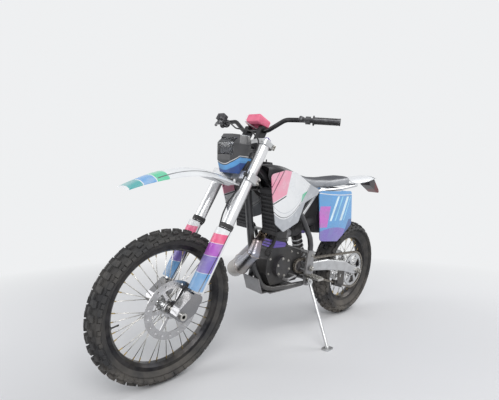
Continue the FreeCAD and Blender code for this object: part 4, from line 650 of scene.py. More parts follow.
def make_chain():
    points = chain_points()
    path = closed_path(points)
    rows = []
    for plate_y, waist, high, reach, radius, sides, first in LINKS:
        plates = [link_plate(side * plate_y, waist, high) for side in (-1, 1)]
        rods = [bar((x, -reach, 0), (x, reach, 0), radius, sides) for x in (-CHAIN_PITCH / 2, CHAIN_PITCH / 2)]
        rows.append(copies(ALONG_PATH, joined(plates + rods), {"Path": path, "Count": 2 * len(points), "Every": 4,
                                                               "First": first, "Finish": chain_steel}))
    bpy.data.objects.remove(path)
    chain = new_piece("roller_chain", joined(rows), chain_steel, machine, False)
    fit(chain, "chassis", "spoke_steel", "drive_chain")


make_chain()

# Fork
# Upside-down fork: bright outer tubes in two forged clamps and hard-chromed inner tubes with the axle feet.
# A rubber seal closes each outer tube, and a moulded guard with a printed band sticker covers each inner one.
FORK_OFFSET = 0.022
FORK_HALF = 0.105
FORK_LOW, FORK_TOP = 0.412, 0.886
AHEAD, ASIDE, UP, SLANT = (1, 0, 0), (0, 1, 0), (0, 0, 1), (0.35, 0, 1)
PINK, MAGENTA, VIOLET = (0.80, 0.10, 0.24), (0.42, 0.09, 0.52), (0.20, 0.14, 0.50)
SKY, DEEP_BLUE, GREEN = (0.10, 0.34, 0.68), (0.015, 0.075, 0.30), (0.05, 0.56, 0.30)
WHITE, PALE, INK = (0.80, 0.81, 0.82), (0.64, 0.67, 0.70), (0.02, 0.02, 0.025)


def along(tree, space, direction):
    """How far a point lies along a direction of the machine or of the fork."""
    facing = space.to_3x3() @ Vector(direction)
    place = add_node(tree, "ShaderNodeTexCoord").outputs["Object"]
    dot = add_node(tree, "ShaderNodeVectorMath", {0: place, 1: facing}, operation="DOT_PRODUCT").outputs["Value"]
    return math_node(tree, "SUBTRACT", dot, facing.dot(space.translation))


def between(tree, value, low, high, edge=0.0008):
    """1 between two places and 0 outside them."""
    rise = map_range(tree, value, low - edge, low + edge)
    fall = map_range(tree, value, high - edge, high + edge, 1.0, 0.0)
    return product(tree, rise, fall)


def banded(space, bands):
    """Pattern of printed bands, each with its direction across, its edges, its ink and, if it is short, the
    direction and the places of its ends. A bowed band adds where and how much its edges bow."""
    def draw(tree, colour):
        for across, edges, ink, *ends in bands:
            bow = across[1:] if len(across) == 4 else None
            value = along(tree, space, across[0] if bow else across)
            if bow:
                off = math_node(tree, "SUBTRACT", along(tree, space, bow[0]), bow[1])
                value = math_node(tree, "ADD", value, product(tree, off, off, bow[2]))
            mask = between(tree, value, *edges)
            if ends:
                mask = product(tree, mask, between(tree, along(tree, space, ends[0]), *ends[1]))
            colour = mix_colour(tree, mask, colour, ink)
        return colour
    return draw


def turned(name, profile, start, toward, steps=40):
    """Turned piece: profile in (distance from the start, radius)."""
    mesh = spun(name, profile, steps)
    mesh.transform(Matrix.Translation(start) @ Vector(toward).to_track_quat("Y", "Z").to_matrix().to_4x4())
    return mesh


SEAL_PROFILE = [(-0.013, 0.0241), (-0.013, 0.0258), (-0.009, 0.0272), (-0.004, 0.0288), (0.002, 0.0318),
                (0.016, 0.0318), (0.021, 0.0312), (0.0228, 0.0296), (0.0228, 0.0281), (0.0005, 0.0281),
                (0.0005, 0.0241)]
CAP_PROFILE = [(0.0, 0.0), (0.0, 0.0205), (0.0035, 0.0205), (0.005, 0.019), (0.005, 0.013), (0.009, 0.0125),
               (0.010, 0.0115), (0.010, 0.0)]
guard_ink = [(SLANT, (0.352, 0.395), PINK), (SLANT, (0.292, 0.350), MAGENTA), (SLANT, (0.212, 0.290), VIOLET),
             (SLANT, (0.128, 0.210), SKY), (AHEAD, (0.0, 0.024), WHITE), ((1, 0, 0.06), (0.046, 0.050), INK)]
guard_plastic = finish("guard plastic", WHITE, PALE, 0.34, blotch=0.35, dust=0.45, bump=0.05, grain=700, coat=0.25,
                       pattern=banded(fork, guard_ink))
tube_alloy = finish("bright tube alloy", (0.80, 0.80, 0.81), (0.62, 0.62, 0.63), 0.30, metallic=0.85, blotch=0.3,
                    blotch_scale=18, dust=0.12, grain=1400, bump=0.04)
chrome = finish("hard chrome", (0.62, 0.62, 0.63), (0.50, 0.49, 0.48), 0.14, metallic=0.95, blotch=0.2, dust=0.2,
                bump=0.03, pattern=banded(fork, [(UP, (-0.2, 0.1045), (0.27, 0.27, 0.28))]))
soft_rubber = finish("soft rubber", (0.028, 0.028, 0.030), (0.055, 0.054, 0.052), 0.66, blotch=0.5, blotch_scale=30,
                     dust=0.3, grain=1300, bump=0.18, specular=0.35)
dark_anodised = finish("violet anodised alloy", (0.10, 0.06, 0.28), (0.20, 0.17, 0.34), 0.28, metallic=0.9,
                       dust=0.1, bump=0.03)

seals, caps = [], []
for side in (-1, 1):
    seals.append(turned("seal", SEAL_PROFILE, (FORK_OFFSET, side * FORK_HALF, FORK_LOW), UP))
    top = Vector((FORK_OFFSET, side * FORK_HALF, FORK_TOP))
    caps.append(turned("cap", CAP_PROFILE, top, UP, steps=6))
    caps.append(bar(top + Vector((0, 0, 0.009)), top + Vector((0, 0, 0.014)), 0.0055, sides=12))
fit(new_piece("fork_dust_seals", joined(seals), soft_rubber, fork), "steering", "grip_rubber")
fit(new_piece("fork_caps", joined(caps), dark_anodised, fork, False), "steering", "bright_alloy")
wear(tube_alloy, "fork_outer_tubes")
wear(chrome, "fork_sliders")
wear(guard_plastic, "fork_guards")
wear(satin_alloy, "lower_clamp", "upper_clamp")
wear(black_alloy, "bar_risers")

# Handlebar, grips and levers
# A one-piece tapered bar, black anodised, with rubber grips that carry ribs and a flange, forged levers on
# black perches, the right one with its brake fluid reservoir and its screwed lid.
GRIP_LENGTH = 0.120
GRIP_RIBS, GRIP_RIB_STEP = 21, 0.0049
UPPER_CLAMP_TOP = FORK_TOP - 0.010
bar_end = Vector((-0.058, 0.410, UPPER_CLAMP_TOP + 0.164))
bar_bend = Vector((0.018, 0.262, UPPER_CLAMP_TOP + 0.126))
bar_way = (bar_end - bar_bend).normalized()
lever_way = Vector((1, 0, -0.55)).normalized()
perch = bar_end - bar_way * (GRIP_LENGTH + 0.022)
pot_low = perch.z + lever_way.z * 0.044 + 0.0078
pot_ink = [(UP, (pot_low, pot_low + 0.036), INK, ASIDE, (-perch.y - 0.030, -perch.y + 0.030))]
lever_alloy = finish("dark lever alloy", (0.075, 0.075, 0.08), (0.20, 0.20, 0.205), 0.42, metallic=0.7, blotch=0.6,
                     blotch_scale=40, dust=0.1, grain=900, bump=0.1, pattern=banded(fork, pot_ink))


def grip_profile():
    """Flange, ribbed sleeve and closed end, hollow for the bar."""
    line = [(0.0, 0.0112), (0.0, 0.0215), (0.0015, 0.0235), (0.0045, 0.0235), (0.0062, 0.0205), (0.0085, 0.0158)]
    for i in range(GRIP_RIBS):
        y = 0.0105 + i * GRIP_RIB_STEP
        line += [(y, 0.0150), (y + 0.0011, 0.0164), (y + 0.0030, 0.0164), (y + 0.0041, 0.0150)]
    line += [(0.1150, 0.0152), (0.1170, 0.0165), (0.1218, 0.0165), (0.1229, 0.0150), (0.1229, 0.0), (0.1203, 0.0),
             (0.1203, 0.0112)]
    return line


def mirrored_left(mesh):
    """The right side's copy of a piece of the left side."""
    copy = mesh.copy()
    copy.transform(Matrix.Scale(-1, 4, (0, 1, 0)))
    copy.flip_normals()
    return copy


grip = turned("grip", grip_profile(), bar_end - bar_way * GRIP_LENGTH, bar_way, steps=36)
grips = new_piece("ribbed_grips", joined([grip, mirrored_left(grip)]), soft_rubber, fork, False)
fit(grips, "steering", "grip_rubber", "grips")
wear(black_alloy, "handlebar")
wear(lever_alloy, "hand_levers")

# Bar pad
# A block of soft foam in a coloured cover that lies over the bar clamps. A light pressure fills the cover,
# which is held near the block's own shape; its seam and its pale band are drawn on it.
PAD_OUTLINE = [(0.004, -0.062), (0.084, -0.048), (0.084, 0.048), (0.004, 0.062)]
PAD_LOW, PAD_HIGH = 0.0205, 0.0660
BAR_RISE = 0.062
CLOTH_QUALITY = 4
pad_ink = [((0.25, 0, 1), (0.966, 0.972), (0.16, 0.01, 0.03)), ((0.5, 1, 0), (-0.004, 0.010), WHITE)]
pad_vinyl = finish("pad cover", (0.74, 0.16, 0.26), (0.56, 0.08, 0.17), 0.55, blotch=0.55, blotch_scale=26,
                   dust=0.12, grain=2200, bump=0.25, pattern=banded(fork, pad_ink))


def puffed(mesh, voxel, pressure, swell, steps):
    """Cover drawn over its filling: evened out, then cloth under a little air, held near its own shape."""
    holder = in_scene("cover", mesh)
    even = holder.modifiers.new("even", "REMESH")
    even.mode = "VOXEL"
    even.voxel_size = voxel
    smooth = evaluated(holder)
    holder.modifiers.remove(even)
    holder.data = smooth
    before = [vert.co.copy() for vert in smooth.vertices]
    cover = holder.modifiers.new("cover", "CLOTH")
    cover.settings.use_pressure = True
    cover.settings.uniform_pressure_force = pressure
    cover.settings.effector_weights.gravity = 0
    cover.settings.quality = CLOTH_QUALITY
    cover.point_cache.frame_end = steps
    for step in range(1, steps + 1):
        scene.frame_set(step)
    filled = evaluated(holder)
    holder.modifiers.remove(cover)
    scene.frame_set(1)
    for vert, old in zip(filled.vertices, before):
        move = vert.co - old
        vert.co = old + move.normalized() * min(move.length, swell)
    holder.data = filled
    finer = holder.modifiers.new("finer", "SUBSURF")
    finer.levels = finer.render_levels = 1
    done = evaluated(holder)
    holder.modifiers.remove(finer)
    bpy.data.objects.remove(holder)
    return done


def make_bar_pad():
    work = bmesh.new()
    low, high = (UPPER_CLAMP_TOP + BAR_RISE + edge for edge in (PAD_LOW, PAD_HIGH))
    rings = [[work.verts.new((a, y, s)) for a, y in PAD_OUTLINE] for s in (low, high)]
    work.faces.new(rings[0][::-1])
    work.faces.new(rings[1])
    for i in range(4):
        work.faces.new((rings[0][i], rings[0][(i + 1) % 4], rings[1][(i + 1) % 4], rings[1][i]))
    bmesh.ops.bevel(work, geom=list(work.edges), offset=0.007, segments=4, profile=0.5, affect="EDGES")
    cover = puffed(to_mesh(work, "pad"), voxel=0.004, pressure=1.5, swell=0.0035, steps=12)
    pad = new_piece("bar_pad_cover", cover, pad_vinyl, fork)
    fit(pad, "steering", "pad_foam", "bar_pad")


make_bar_pad()

# Head lamp and its mask
# A black moulded mask with a blue lower part and thin pale lines. The lamp in its window has a fluted smoked
# lens, a pressed reflector behind it and a small bulb.
MASK_FLAT, MASK_SWEEP = 0.55, 0.030
# height, front x, half width of the mask
MASK_ROWS = [(0.950, 1.212, 0.064), (1.010, 1.226, 0.084), (1.090, 1.236, 0.080), (1.134, 1.214, 0.056)]
LENS_HALF, LENS_LOW, LENS_HIGH = 0.0574, 1.0366, 1.1154
LENS_WALL = 0.003
LENS_BULGE, FLUTES, FLUTE_DEPTH = 0.004, 12, 0.0004
REFLECTOR_DEPTH, REFLECTOR_WALL = 0.050, 0.0015
LAMP_MIDDLE = 1.076
# turned profiles: place along the bulb, radius
BULB_FOOT = [(0.0, 0.0), (0.0, 0.008), (0.007, 0.008), (0.008, 0.0055), (0.014, 0.0050), (0.014, 0.0)]
BULB_GLASS = [(0.0142, 0.0), (0.0142, 0.0046), (0.022, 0.0062), (0.030, 0.0050), (0.0335, 0.0020), (0.0340, 0.0)]
MASK_BOW = (UP, ASIDE, 0.0, -6.0)
mask_ink = [(MASK_BOW, (0.90, 0.985), SKY), (MASK_BOW, (0.90, 0.962), DEEP_BLUE), (MASK_BOW, (0.990, 0.993), WHITE)]
mask_ink += [((0, side, 0.9), (1.076, 1.082), PALE, UP, (1.07, 1.14)) for side in (1, -1)]
mask_plastic = finish("mask plastic", (0.035, 0.035, 0.038), (0.07, 0.07, 0.075), 0.38, blotch=0.4, dust=0.2,
                      bump=0.06, coat=0.15, pattern=banded(machine, mask_ink))
reflector_metal = finish("reflector", (0.42, 0.42, 0.44), (0.36, 0.36, 0.38), 0.24, metallic=1.0, blotch=0.2,
                         dust=0.0, bump=0.01)
LENS_TINT = (0.40, 0.41, 0.43)
lens_glass = finish("smoked lens", LENS_TINT, LENS_TINT, 0.10, blotch=0.05, dust=0.05, grain=900, bump=0.03)
feed(lens_glass.node_tree, lens_glass.node_tree.nodes["Principled BSDF"], {"Transmission Weight": 1.0, "IOR": 1.45})


def mask_front(y, z):
    """X of the mask's front face."""
    for (z0, x0, h0), (z1, x1, h1) in zip(MASK_ROWS, MASK_ROWS[1:]):
        if z0 <= z <= z1:
            share = (z - z0) / (z1 - z0)
            front, half = x0 + (x1 - x0) * share, h0 + (h1 - h0) * share
            flat = half * MASK_FLAT
            return front - MASK_SWEEP * max(0.0, abs(y) - flat) / (half - flat)
    return MASK_ROWS[0][1]


def sheet_between(rows, columns, near, far):
    """Closed slab between two surfaces given over the same grid of places."""
    places = [(u / columns, v / rows) for v in range(rows + 1) for u in range(columns + 1)]
    verts = [near(u, v) for u, v in places] + [far(u, v) for u, v in places]
    width, layer = columns + 1, (rows + 1) * (columns + 1)
    faces = []
    for v in range(rows):
        for u in range(columns):
            a = v * width + u
            quad = (a, a + 1, a + 1 + width, a + width)
            faces.append(quad)
            faces.append(tuple(layer + i for i in reversed(quad)))
    rim = list(range(columns)) + [columns + v * width for v in range(rows)]
    rim += [rows * width + u for u in range(columns, 0, -1)] + [v * width for v in range(rows, 0, -1)]
    for a, b in zip(rim, rim[1:] + rim[:1]):
        faces.append((b, a, layer + a, layer + b))
    return outward(mesh_from("slab", verts, faces))


def make_lamp():
    tall = LENS_HIGH - LENS_LOW

    def outside(u, v):
        y, z = (u * 2 - 1) * LENS_HALF, LENS_LOW + v * tall
        bulge = LENS_BULGE * (1 - (u * 2 - 1) ** 2) * (1 - (v * 2 - 1) ** 2)
        return Vector((mask_front(y, z) - 0.005 + bulge, y, z))

    def inside(u, v):
        flute = FLUTE_DEPTH * (0.5 + 0.5 * math.cos(u * math.tau * FLUTES))
        return outside(u, v) - Vector((LENS_WALL + flute, 0, 0))

    def bowl(u, v):
        y, z = (u * 2 - 1) * LENS_HALF * 0.985, LENS_LOW + v * tall
        deep = REFLECTOR_DEPTH * math.sqrt(max(0.0, (1 - abs(u * 2 - 1) ** 3) * (1 - abs(v * 2 - 1) ** 3)))
        return Vector((mask_front(y, z) - 0.0125 - deep, y, z))

    lens = sheet_between(rows=12, columns=96, near=outside, far=inside)
    fit(new_piece("lamp_lens", lens, lens_glass, machine), "steering", "lens_clear", "headlight")
    dish = sheet_between(rows=20, columns=28, near=bowl,
                         far=lambda u, v: bowl(u, v) - Vector((REFLECTOR_WALL, 0, 0)))
    fit(new_piece("lamp_reflector", dish, reflector_metal, machine), "steering", "bright_alloy")
    middle = Vector((mask_front(0, LAMP_MIDDLE) - 0.055, 0, LAMP_MIDDLE))
    foot = turned("foot", BULB_FOOT, middle, AHEAD, steps=20)
    fit(new_piece("lamp_bulb_foot", foot, plated_steel, machine, False), "steering", "spoke_steel")
    bulb = turned("bulb", BULB_GLASS, middle, AHEAD, steps=20)
    fit(new_piece("lamp_bulb", bulb, lens_glass, machine), "steering", "lens_clear")


make_lamp()
wear(mask_plastic, "headlight_mask")

# Front fender
# High front fender moulded in white plastic, bolted under the lower clamp, with coloured bands toward its
# tip and a dark line along each edge.
TIP = (1, 0, 0.3)
fender_ink = [(TIP, (1.832, 1.877), GREEN), (TIP, (1.880, 1.922), SKY), (TIP, (1.925, 1.966), (0.03, 0.36, 0.36))]
fender_ink += [(ASIDE, edges, INK, AHEAD, (1.16, 1.60)) for edges in ((0.055, 0.062), (-0.062, -0.055))]
fender_plastic = finish("fender plastic", WHITE, PALE, 0.30, blotch=0.35, dust=0.3, bump=0.05, grain=600, coat=0.3,
                        pattern=banded(machine, fender_ink))
wear(fender_plastic, "front_fender")

# Frame
# Box-section main rails, head tube, single down tube and cradle welded from steel tube and painted dark, a
# lighter bolted rear frame of alloy tube, and forged pivot plates.
frame_lacquer = finish("dark frame paint", (0.020, 0.021, 0.024), (0.055, 0.055, 0.06), 0.32, blotch=0.45,
                       blotch_scale=16, dust=0.25, grain=500, bump=0.05, coat=0.4)
wear(frame_lacquer, "frame_spine", "frame_cradle")
wear(satin_alloy, "subframe")
wear(cast_alloy, "pivot_plates")

# Engine
# Two-stroke single: sand-cast cases with turned covers, a barrel with a short stack of fins, the head with
# its plug, the carburettor on its boot, the airbox and the water hoses. The covers have a coat of their own.
case_ink = [(ASIDE, (0.0605, 0.0875), (0.060, 0.058, 0.066)), (ASIDE, (-0.104, -0.0645), (0.05, 0.05, 0.054))]
case_metal = finish("engine castings", (0.060, 0.060, 0.063), (0.035, 0.034, 0.033), 0.52, metallic=0.6, blotch=0.6,
                    blotch_scale=18, dust=0.25, grain=1100, bump=0.4, pattern=banded(machine, case_ink))
barrel_ink = [((-0.2, 0, 1), (0.362, 0.432), VIOLET, AHEAD, (0.70, 0.868))]
fin_metal = finish("barrel and head", (0.055, 0.055, 0.058), (0.12, 0.117, 0.114), 0.50, metallic=0.6, blotch=0.5,
                   dust=0.3, grain=1000, bump=0.3, pattern=banded(machine, barrel_ink))
box_plastic = finish("black plastic", (0.030, 0.030, 0.033), (0.060, 0.060, 0.062), 0.55, blotch=0.5, dust=0.3,
                     grain=1500, bump=0.2)
hose_rubber = finish("hose rubber", (0.025, 0.025, 0.027), (0.05, 0.05, 0.05), 0.6, blotch=0.5, blotch_scale=40,
                     dust=0.25, grain=1700, bump=0.25, specular=0.35)
wear(case_metal, "crankcase")
wear(fin_metal, "cylinder")
wear(cast_alloy, "carburettor", "rear_brake_cylinder")
wear(box_plastic, "airbox", "chain_guides")
wear(hose_rubber, "radiator_hoses", "front_brake_hose", "rear_brake_hose")

# Exhaust
# Expansion chamber rolled from steel cones and welded, blued near the port and at the seams, and a brushed
# alloy silencer with riveted bands.
CHAMBER_START = Vector((0.884, 0, 0.632))
# place of each weld, radius there
WELDS = [((0.906, 0, 0.632), 0.020), ((0.936, 0.024, 0.622), 0.021), ((1.004, 0.064, 0.604), 0.025),
         ((1.022, 0.062, 0.545), 0.034), ((1.019, -0.020, 0.462), 0.041), ((0.985, -0.100, 0.424), 0.044),
         ((0.900, -0.142, 0.444), 0.044), ((0.760, -0.168, 0.534), 0.034), ((0.610, -0.178, 0.655), 0.022),
         ((0.492, -0.181, 0.704), 0.017)]
SILENCER_R = 0.042
SILENCER_LENGTH = 0.434
BEAD_STEPS, BEAD_SIDES, BEAD_R, RIPPLE = 56, 6, 0.0016, 0.25
# turned band of the silencer: place along it, height over its skin
BAND = [(0, 0.0001), (0, 0.0011), (0.0012, 0.0016), (0.0128, 0.0016), (0.014, 0.0011), (0.014, 0.0001)]
BAND_ENDS = (0.048, SILENCER_LENGTH - 0.018)
RIVETS, RIVET_Y, RIVET_R, RIVET_TOP_R = 12, 0.007, 0.0026, 0.0016
# share of the heated length, colour
HEAT = [(0.0, (0.30, 0.22, 0.13)), (0.16, (0.38, 0.27, 0.17)), (0.26, (0.27, 0.21, 0.24)),
        (0.36, (0.30, 0.31, 0.36)), (0.50, (0.48, 0.47, 0.45)), (1.0, (0.58, 0.57, 0.55))]
HEATED_LENGTH = 0.55


def heat_tint(tree, colour):
    """Straw near the port, then violet and blue, and bare steel farther on, in place of one colour."""
    place = add_node(tree, "ShaderNodeTexCoord").outputs["Object"]
    gap = add_node(tree, "ShaderNodeVectorMath", {0: place, 1: machine @ CHAMBER_START}, operation="DISTANCE")
    share = map_range(tree, gap.outputs["Value"], 0.0, HEATED_LENGTH)
    ramp = add_node(tree, "ShaderNodeValToRGB", {"Fac": share})
    bands = ramp.color_ramp.elements
    while len(bands) < len(HEAT):
        bands.new(0.5)
    for band, (place, tint) in zip(bands, HEAT):
        band.position = place
        band.color = (*tint, 1)
    return ramp.outputs["Color"]


pipe_steel = finish("pipe steel", (0.5, 0.5, 0.5), (0.30, 0.24, 0.18), 0.27, metallic=1.0, blotch=0.45,
                    blotch_scale=12, dust=0.2, grain=900, bump=0.1, pattern=heat_tint)
weld_steel = finish("weld bead", (0.34, 0.30, 0.28), (0.20, 0.15, 0.12), 0.42, metallic=1.0, blotch=0.6,
                    blotch_scale=90, dust=0.1, grain=700, bump=0.5)
brushed_alloy = finish("brushed silencer alloy", (0.60, 0.61, 0.62), (0.48, 0.48, 0.49), 0.33, metallic=0.95,
                       blotch=0.3, blotch_scale=22, dust=0.15, grain=2400, bump=0.12)


def weld_bead(place, radius, way):
    """Ripples of weld round the pipe."""
    verts = []
    quat = way.to_track_quat("Z", "Y").to_matrix()
    for i in range(BEAD_STEPS):
        angle = math.tau * i / BEAD_STEPS
        out = Vector((math.cos(angle), math.sin(angle), 0))
        swell = BEAD_R * (1.0 + RIPPLE * math.cos(angle * BEAD_STEPS / 2))
        for j in range(BEAD_SIDES):
            turn = math.tau * j / BEAD_SIDES
            local = out * (radius + 0.0006 + swell * math.cos(turn)) + Vector((0, 0, swell * 1.5 * math.sin(turn)))
            verts.append(Vector(place) + quat @ local)
    return outward(mesh_from("bead", verts, grid_faces(BEAD_STEPS, BEAD_SIDES)))


def make_exhaust_trim():
    places = [CHAMBER_START] + [Vector(place) for place, _ in WELDS]
    steps = [far - near for near, far in zip(places, places[1:])]
    beads = [weld_bead(place, radius, before.normalized() + after.normalized())
             for (place, radius), before, after in zip(WELDS[:-1], steps, steps[1:])]
    fit(new_piece("exhaust_weld_beads", joined(beads), weld_steel, machine), "chassis", "pipe_steel")
    run = steps[-1].normalized()
    trim = []
    for from_start in BAND_ENDS:
        foot = places[-1] + run * 0.0003 + run * from_start
        trim.append(turned("band", [(y, SILENCER_R + high) for y, high in BAND], foot, run, steps=64))
        rivet = bar((0, RIVET_Y, SILENCER_R + 0.001), (0, RIVET_Y, SILENCER_R + 0.0034), RIVET_R, sides=8,
                    far_radius=RIVET_TOP_R)
        rivets = around([rivet], RIVETS, brushed_alloy)
        rivets.transform(Matrix.Translation(foot) @ run.to_track_quat("Y", "Z").to_matrix().to_4x4())
        trim.append(rivets)
    fit(new_piece("silencer_bands", joined(trim), brushed_alloy, machine, False), "chassis", "bright_alloy")


make_exhaust_trim()
wear(pipe_steel, "exhaust_chamber")
wear(brushed_alloy, "silencer")

# Cooling and tank
# Two thin radiators with a fine finned core beside the down tube, behind slatted guards, and a dark moulded
# tank with a screw cap under the shrouds.
RADIATOR_MIDDLE = Vector((0.962, 0, 0.772))
RADIATOR_TILT = math.radians(12)
core_metal = finish("radiator core", (0.035, 0.035, 0.038), (0.07, 0.07, 0.07), 0.55, metallic=0.4, blotch=0.5,
                    dust=0.2, grain=700, bump=0.3)
cap_plastic = finish("filler cap plastic", (0.028, 0.028, 0.030), (0.06, 0.06, 0.06), 0.5, blotch=0.4, dust=0.35,
                     bump=0.15)
tank_plastic = finish("tank plastic", (0.022, 0.022, 0.025), (0.045, 0.045, 0.048), 0.45, blotch=0.4,
                      blotch_scale=10, dust=0.2, grain=1200, bump=0.12)
wear(core_metal, "radiators")
wear(tank_plastic, "fuel_tank")
TUBES, TUBE_STEP = 9, 0.0112
FINS, FIN_STEP = 44, 0.0043
CAP_SEAT = Vector((0.930, 0, 1.0))
CAP_RIDGES = 24


def strip_at(size, edge, place):
    strip = bevelled_block(size, taper=0.0, edge=edge, segments=1)
    strip.transform(Matrix.Translation(place))
    return strip


def make_core_fins():
    """Fine folded fins and flat water tubes over the front of both cores."""
    place = Matrix.Translation(RADIATOR_MIDDLE) @ Matrix.Rotation(RADIATOR_TILT, 4, "Y")
    pieces = []
    for side in (-1, 1):
        pieces += [strip_at((0.0026, 0.0022, 0.192), 0.0004, (0.0158, side * (0.056 + i * TUBE_STEP), -0.096))
                   for i in range(TUBES)]
        pieces += [strip_at((0.0012, 0.094, 0.0009), 0.0002, (0.0156, side * 0.100, -0.094 + i * FIN_STEP))
                   for i in range(FINS)]
    fins = new_piece("radiator_core_fins", joined(pieces), core_metal, machine @ place, False)
    fit(fins, "chassis", "cast_alloy")


def make_filler_cap():
    """Ribbed screw cap with a short vent spigot."""
    line = [(0.0, 0.0), (0.0, 0.0352), (0.0022, 0.0358), (0.0022, 0.0348), (0.017, 0.0344), (0.0205, 0.0325),
            (0.0225, 0.027), (0.0232, 0.0)]
    cap = turned("cap", line, CAP_SEAT, UP, steps=48)
    ridge = bevelled_block((0.0030, 0.0034, 0.013), taper=0.0004, edge=0.0005, segments=1)
    ridge.transform(Matrix.Translation((0.0348, 0, 0.003)))
    ridge.transform(Matrix.Rotation(-math.pi / 2, 4, "X"))
    ridges = around([ridge], CAP_RIDGES, tank_plastic)
    ridges.transform(Matrix.Translation(CAP_SEAT) @ Matrix.Rotation(math.pi / 2, 4, "X"))
    spigot = bar((0.930, 0, 1.022), (0.930, 0, 1.036), 0.0035, sides=12)
    whole = joined([cap, ridges, spigot])
    fit(new_piece("filler_cap", whole, cap_plastic, machine, False), "chassis", "black_plastic")


make_core_fins()
make_filler_cap()

# Shrouds
# Glossy white mouldings that spread from the radiators back to the seat. Their stickers are plain bands:
# pink at the front with dark lines, a green stripe with a dark line below it toward the rear, a grey foot.
FRONT_EDGE, LINES, STRIPE = (1, 0, 0.25), (1, 0, 0.7), (0.38, 0, 1)
SHROUD_BOW = (UP, AHEAD, 0.93, -3.0)
shroud_ink = [(SLANT, (1.195, 1.40), (0.82, 0.30, 0.42), FRONT_EDGE, (1.150, 1.40)),
              (LINES, (1.664, 1.673), (0.16, 0.01, 0.05), UP, (0.86, 1.0)),
              (LINES, (1.700, 1.706), (0.16, 0.01, 0.05), UP, (0.86, 1.0)),
              (SLANT, (1.184, 1.191), INK, FRONT_EDGE, (1.150, 1.40)),
              (STRIPE, (1.112, 1.158), GREEN, AHEAD, (0.50, 0.765)),
              (STRIPE, (1.096, 1.108), INK, AHEAD, (0.50, 0.785)),
              (SHROUD_BOW, (0.40, 0.742), (0.40, 0.42, 0.45)), (SHROUD_BOW, (0.748, 0.752), INK),
              (SHROUD_BOW, (0.772, 0.774), (0.35, 0.37, 0.40))]
shroud_plastic = finish("shroud plastic", WHITE, PALE, 0.24, blotch=0.3, dust=0.25, bump=0.04, grain=600, coat=0.4,
                        pattern=banded(machine, shroud_ink))
wear(shroud_plastic, "radiator_shrouds")

# Seat
# Moulded foam on a plastic base under a vinyl cover: a dark top with ribs across it, sides of a paler grey that is
# a painted highlight, and a sewn welt between them in the same grey. Cloth under slight pressure gives the cover
# its fullness.
SEAT_STEPS, SEAT_SIDES = 100, 36
# x, half width, low, high
SEAT = [(0.812, 0.036, 0.972, 1.002), (0.720, 0.060, 0.926, 0.980), (0.590, 0.074, 0.902, 0.962),
        (0.420, 0.084, 0.912, 0.966), (0.280, 0.086, 0.926, 0.984), (0.176, 0.080, 0.944, 0.996)]
SEAT_FRONT, SEAT_REAR = SEAT[0][0] - 0.004, SEAT[-1][0] + 0.004
# reach of the evening out along the seat, length of its rounded ends
SEAT_EASE, SEAT_END = 0.018, 0.03
RIB_PITCH, RIB_DEPTH = 0.017, 0.0016
RIBS_FRONT, RIBS_REAR = SEAT_FRONT - 0.05, SEAT_REAR + 0.03
# the welt's place as a share of the half width
WELT_SHARE, WELT_POINTS, WELT_R = 0.86, 90, 0.0016
seat_top = finish("seat top vinyl", (0.016, 0.018, 0.028), (0.035, 0.038, 0.048), 0.58, blotch=0.45,
                  blotch_scale=20, dust=0.18, grain=2600, bump=0.35)
# The sides' pale grey is a painted highlight on the dark cover, not a second vinyl colour.
seat_side_highlight = finish("seat side painted highlight vinyl", (0.30, 0.31, 0.33), (0.20, 0.21, 0.23), 0.42, blotch=0.5, blotch_scale=14,
                   dust=0.2, grain=2200, bump=0.3)


def seat_row(x):
    """Half width, low and high of the seat at x."""
    for near, far in zip(SEAT, SEAT[1:]):
        if far[0] <= x <= near[0]:
            share = (near[0] - x) / (near[0] - far[0])
            return [a + (b - a) * share for a, b in zip(near[1:], far[1:])]
    return SEAT[0][1:] if x > SEAT[0][0] else SEAT[-1][1:]


def seat_at(x, u):
    """Place on the cover: u goes from the left lower edge (0) over the crown to the right one (1)."""
    near = [seat_row(x + step * SEAT_EASE) for step in (-2, -1, 0, 1, 2)]
    half, low, high = [sum(values) / 5 for values in zip(*near)]
    end = min(1.0, (SEAT_FRONT - x) / SEAT_END, (x - SEAT_REAR) / SEAT_END)
    pull = math.sqrt(max(0.0, 1 - (1 - max(0.0, end)) ** 2))
    side = 1 - 2 * u
    angle = math.pi / 2 * side
    y = math.copysign(abs(math.sin(angle)) ** 0.55, side) * (half - 0.003)
    crown = max(0.0, math.cos(angle)) ** 0.42
    z = low + 0.001 + (high - low - 0.004) * crown * (0.72 + 0.28 * pull)
    return Vector((x, y * (0.84 + 0.16 * pull), z))


